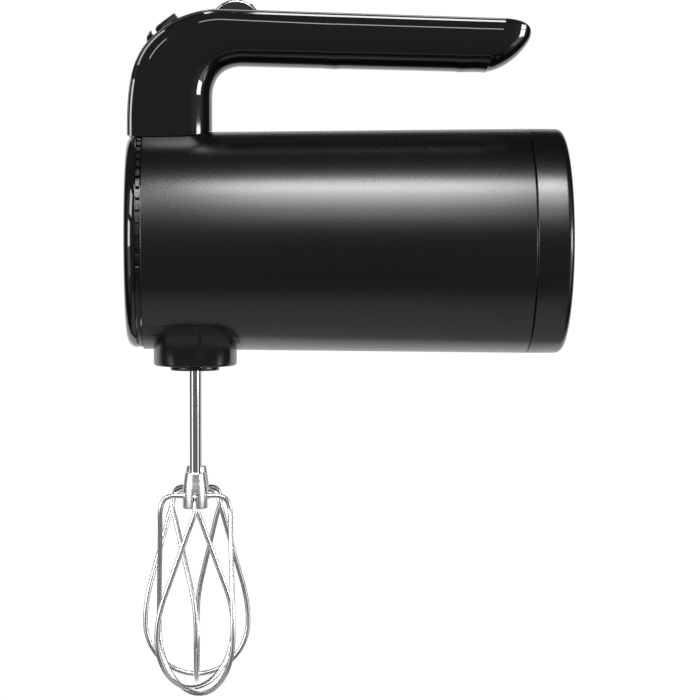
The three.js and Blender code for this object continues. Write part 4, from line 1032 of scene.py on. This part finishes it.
def make_loop(name, node, body, growth, centre, azimuth, twist, raised, material):
    """One wire, from the hub round under the whisk and back up to the hub's other side."""
    bottom = BULGE_DROP + BOWL_DEPTH - raised
    down = half_loop(azimuth, twist, bottom)
    up = list(reversed(half_loop(azimuth + math.pi, twist, bottom)))
    path = [p + centre for p in flowing([*down, Vector((0, 0, -bottom)), *up], 9)]
    mesh = bpy.data.meshes.new(name)
    mesh.from_pydata(path, [(i, i + 1) for i in range(len(path) - 1)], [])
    loop = link(name, mesh)
    growth.grow(loop, Radius=WIRE_RADIUS, Sides=20)
    smooth(loop, 60)
    fit_out(loop, body, "polished_steel", material, node)


def make_hub(name, node, body, centre, top, bottom, first_port, material):
    """The turned hub, necked towards the shaft, with four ports for the wires."""
    r, neck, shaft = HUB_RADIUS, HUB_NECK_RADIUS, HUB_BORE_RADIUS
    profile = [(top - 12 * MM, 0), (top - 12 * MM, shaft), (top, shaft), (top, neck - 0.5 * MM),
               (top - 0.15 * MM, neck - 0.15 * MM), (top - 0.5 * MM, neck),
               (top - 1.0 * MM, neck + 0.02 * MM), (top - 6.8 * MM, r - 0.08 * MM), (top - 7.4 * MM, r),
               (bottom + 0.5 * MM, r), (bottom + 0.15 * MM, r - 0.15 * MM), (bottom, r - 0.5 * MM),
               (bottom, 0)]
    hub = turned(name, profile, "Z", 96, centre)
    for i in range(4):
        turn = first_port + math.pi / 2 * i
        start, end = WIRE_START - 0.5 * MM, r + MM
        port = turned("port", [(start, 0), (start, PORT_RADIUS), (end, PORT_RADIUS), (end, 0)], "X", 32)
        place = Matrix.Translation(Vector((centre.x, centre.y, top - PORT_DROP)))
        port.data.transform(place @ Matrix.Rotation(turn, 4, "Z"))
        combine(hub, port)
    ease_edges(hub, 0.1 * MM, 2, 50)
    smooth(hub)
    fit_out(hub, body, "polished_steel", material, node)


def make_whisk(side, growth, wire_steel, shaft_steel, hub_steel, soft):
    """A whisk's shaft, hub and two loops, and the collar of its socket."""
    body = side + "_whisk"
    shaft_low, shaft_high = reach(body + "_shaft")
    hub_low, hub_high = reach(body + "_hub")
    centre = Vector(((shaft_low.x + shaft_high.x) / 2, (shaft_low.y + shaft_high.y) / 2, 0))
    first = 0.0 if side == "left" else math.pi / 4
    twist = -math.pi / 4 if side == "left" else math.pi / 4
    r = SHAFT_RADIUS
    profile = [(shaft_low.z, 0), (shaft_low.z, r), (shaft_high.z - 1.5 * MM, r), (shaft_high.z, r - MM),
               (shaft_high.z, 0)]
    shaft = turned(side + "_shaft_rod", profile, "Z", 48, centre)
    fins = box_piece("fins", centre + Vector((-FIN_REACH, -MM, FIN_BOTTOM)),
                     centre + Vector((FIN_REACH, MM, FIN_TOP)))
    combine(shaft, fins, "UNION")
    smooth(shaft)
    fit_out(shaft, body, "polished_steel", shaft_steel, body + "_shaft")
    make_hub(side + "_hub_body", body + "_hub", body, centre, hub_high.z, hub_low.z, first, hub_steel)
    ports = centre + Vector((0, 0, hub_high.z - PORT_DROP))
    make_loop(side + "_long_wire", side + "_outer_loop", body, growth, ports, first, twist, 0, wire_steel)
    make_loop(side + "_short_wire", side + "_inner_loop", body, growth, ports, first + math.pi / 2, twist,
              LOOP_STEP, wire_steel)
    collar_low, collar_high = reach(side + "_socket_collar")
    out, bore = (collar_high.x - collar_low.x) / 2, SOCKET_BORE
    z0, z1 = collar_low.z, collar_high.z
    edge = 0.7 * MM
    rounded = [(z0 + edge - edge * math.sin(t), out - edge + edge * math.cos(t)) for t in
               [math.pi / 2 * i / 6 for i in range(7)]]
    profile = [(z1, bore), (z1, out), *rounded, (z0, out - 3.2 * MM),
               (z0 + 0.5 * MM, out - 3.7 * MM), (z0 + 0.5 * MM, bore)]
    collar = turned(side + "_collar_ring", profile, "Z", 96, centre, closed=True)
    smooth(collar)
    fit_out(collar, side + "_drive", "soft_black", soft, side + "_socket_collar")


# ---------- light and floor ----------

def softbox(name, place, target, width, height, radiance):
    """A rectangular lamp with an even face of a known brightness."""
    data = bpy.data.lights.new(name, "AREA")
    data.shape = "RECTANGLE"
    data.size = width
    data.size_y = height
    data.energy = radiance * math.pi * width * height
    lamp = bpy.data.objects.new(name, data)
    bpy.context.collection.objects.link(lamp)
    lamp.location = place
    aim(lamp, target)


OVERHEAD_DISTANCE = 1.1
OVERHEAD_WIDTH = 0.66
OVERHEAD_STEPS = (  # height over the mixer and extent, both in degrees, and brightness
    (57.5, 13, 19),
    (44, 14, 8),
    (30, 14, 2.8),
    (17.5, 11, 0.7),
)
SIDE_FOOT = Vector((-0.176, -0.01, 0))
SIDE_SHIFT = 0.019  # of each side's lamps, away from the middle
CARD_BOTTOM = -0.6
FLOOR_DROP = 1.2


def light_overhead():
    """A long box above the front: brightest at its sharp upper edge and dimmer step by step below."""
    middle = Vector((0.0, -0.04, 0.03))
    for number, (rise, extent, radiance) in enumerate(OVERHEAD_STEPS):
        turn = math.radians(rise)
        place = middle + OVERHEAD_DISTANCE * Vector((0, -math.cos(turn), math.sin(turn)))
        tall = 2 * OVERHEAD_DISTANCE * math.tan(math.radians(extent / 2))
        softbox(f"overhead_{number}", place, middle, OVERHEAD_WIDTH, tall, radiance)


def light_side(way, out, width, low, high, lamp, card):
    """A strong lamp to one side, level with the body, and a dim card below it at the whisks."""
    foot = SIDE_FOOT + Vector((SIDE_SHIFT * way, 0, 0))
    turn = math.radians(out)
    aside = Vector((way * math.sin(turn), -math.cos(turn), 0))
    lights = (("side_lamp", low, high, lamp), ("side_card", CARD_BOTTOM, low, card))
    for name, bottom, top, radiance in lights:
        foot.z = (bottom + top) / 2
        softbox(name, foot + aside, foot, width, top - bottom, radiance)


def light_world():
    """A dark room with a white backdrop behind the mixer. The camera itself sees plain white all round."""
    world = bpy.data.worlds.new("studio")
    bpy.context.scene.world = world
    world.use_nodes = True
    world.node_tree.nodes.clear()
    room = Nodes(world.node_tree)
    way = room.node("TexCoord", out="Generated")
    split = room.node("SeparateXYZ", values={0: way}).socket.node
    across, ahead, up = (Flow(room.tree, split.outputs[i]) for i in range(3))
    above = room.math("MAXIMUM", up, 0.0)
    below = room.math("MINIMUM", up, 0.0)
    spread = across ** 2 * (1 / 0.55) + above ** 2 * (1 / 0.2) + below ** 2 * (1 / 0.6)
    backdrop = room.step(spread, 1.08, 0.94) * room.step(ahead, 0.0, 0.1)
    flanks = room.step(across ** 2, 0.3, 0.6) * room.step(ahead, 0.1, -0.1)
    front = 0.13 * room.step(ahead, 0.1, -0.2) + 0.2 * flanks
    shade = room.math("MAXIMUM", 0.02 + front * room.step(up, 0.75, 0.5), backdrop)
    lit = room.node("Background", values={"Color": (1, 1, 1, 1), "Strength": shade})
    seen = room.node("Background", values={"Color": (1, 1, 1, 1), "Strength": 1.02})
    direct = room.node("LightPath", out="Is Camera Ray")
    both = room.node("MixShader", values={0: direct, 1: lit, 2: seen})
    room.node("OutputWorld", values={0: both}, out=None)


def light_studio():
    """The lamps overhead, to both sides and towards the handle's bend, and the room."""
    light_overhead()
    light_side(1, 69, 0.3, -0.11, 0.105, 20, 1.4)
    light_side(-1, 57, 0.42, -0.08, 0.3, 12, 1.3)
    bend = Vector((-0.17, -0.02, 0.09))
    softbox("corner_lamp", bend + Vector((-0.57, -0.63, 0.53)), bend, 0.46, 0.46, 8)
    light_world()
    bpy.context.scene.view_settings.view_transform = "Standard"


def lay_floor():
    """A pale floor, well below the whisks."""
    low = cad_box[0][2] - FLOOR_DROP
    floor = box_piece("floor", (-1.0, -0.9, low - 0.05), (0.8, 0.9, low))
    finish = Finish("pale_floor")
    cloud = finish.noise(finish.place(), 3.0, 3.0)
    floor.data.materials.append(finish.done(
        Base_Color=finish.blend(cloud, (0.86, 0.86, 0.86), (0.9, 0.9, 0.9)), Roughness=0.8 + 0.1 * cloud))


# ---------- assembly ----------

def dress_inner_nodes(finishes):
    """Gives every node that is kept as it is the finish of its own material slot."""
    slots = {part["node"]: part["material_slot"] for part in frame["record"]["subparts"]}
    for name, node in frame["nodes"].items():
        material = finishes.get(slots[name])
        if material is None:
            continue
        for place in node.material_slots:
            place.material = material


place_camera()
light_studio()
lay_floor()

lacquer = satin_lacquer("satin_lacquer")
gloss = gloss_moulding("gloss_moulding")
soft = soft_moulding("soft_moulding")
wire_steel = steel("polished_wire", 0.24, (1, 1, 0.05))
shaft_steel = steel("polished_shaft", 0.05, (1, 1, 0.03))
hub_steel = steel("turned_hub", 0.3, (0.05, 0.05, 1))
dress_inner_nodes({
    "polished_steel": shaft_steel,
    "plain_steel": steel("mill_steel", 0.3, tone=(0.33, 0.33, 0.34), bright=(0.5, 0.5, 0.51)),
    "bronze": steel("oiled_bronze", 0.42, tone=(0.36, 0.21, 0.09), bright=(0.55, 0.36, 0.17)),
    "natural_nylon": moulded("natural_nylon", (0.62, 0.6, 0.53), (0.76, 0.74, 0.68)),
    "grey_nylon": moulded("grey_nylon", (0.10, 0.105, 0.11), (0.17, 0.175, 0.18)),
    "ferrite": moulded("ferrite", (0.012, 0.012, 0.013), (0.03, 0.03, 0.032), 0.7, 1500),
    "copper": wound_copper("wound_copper"),
    "board_green": circuit_board("circuit_board"),
    "cell_sleeve": moulded("cell_sleeve", (0.015, 0.10, 0.36), (0.03, 0.16, 0.46), 0.3),
})

make_barrel(lacquer)
make_rear_cap(lacquer)
make_front_cap(gloss)
make_vent_ring(soft)
make_chin(soft)
make_handle(gloss)
make_button("eject_key", "eject_button", "eject_press", EJECT_LENGTH, EJECT_DEPTH, gloss, eject_outline)
make_button("turbo_key", "turbo_button", "turbo_press", TURBO_LENGTH, TURBO_DEPTH, gloss, turbo_outline)
make_speed_wheel(soft, shaft_steel)
growth = wire_growth(wire_steel)
for side in ("left", "right"):
    make_whisk(side, growth, wire_steel, shaft_steel, hub_steel, soft)
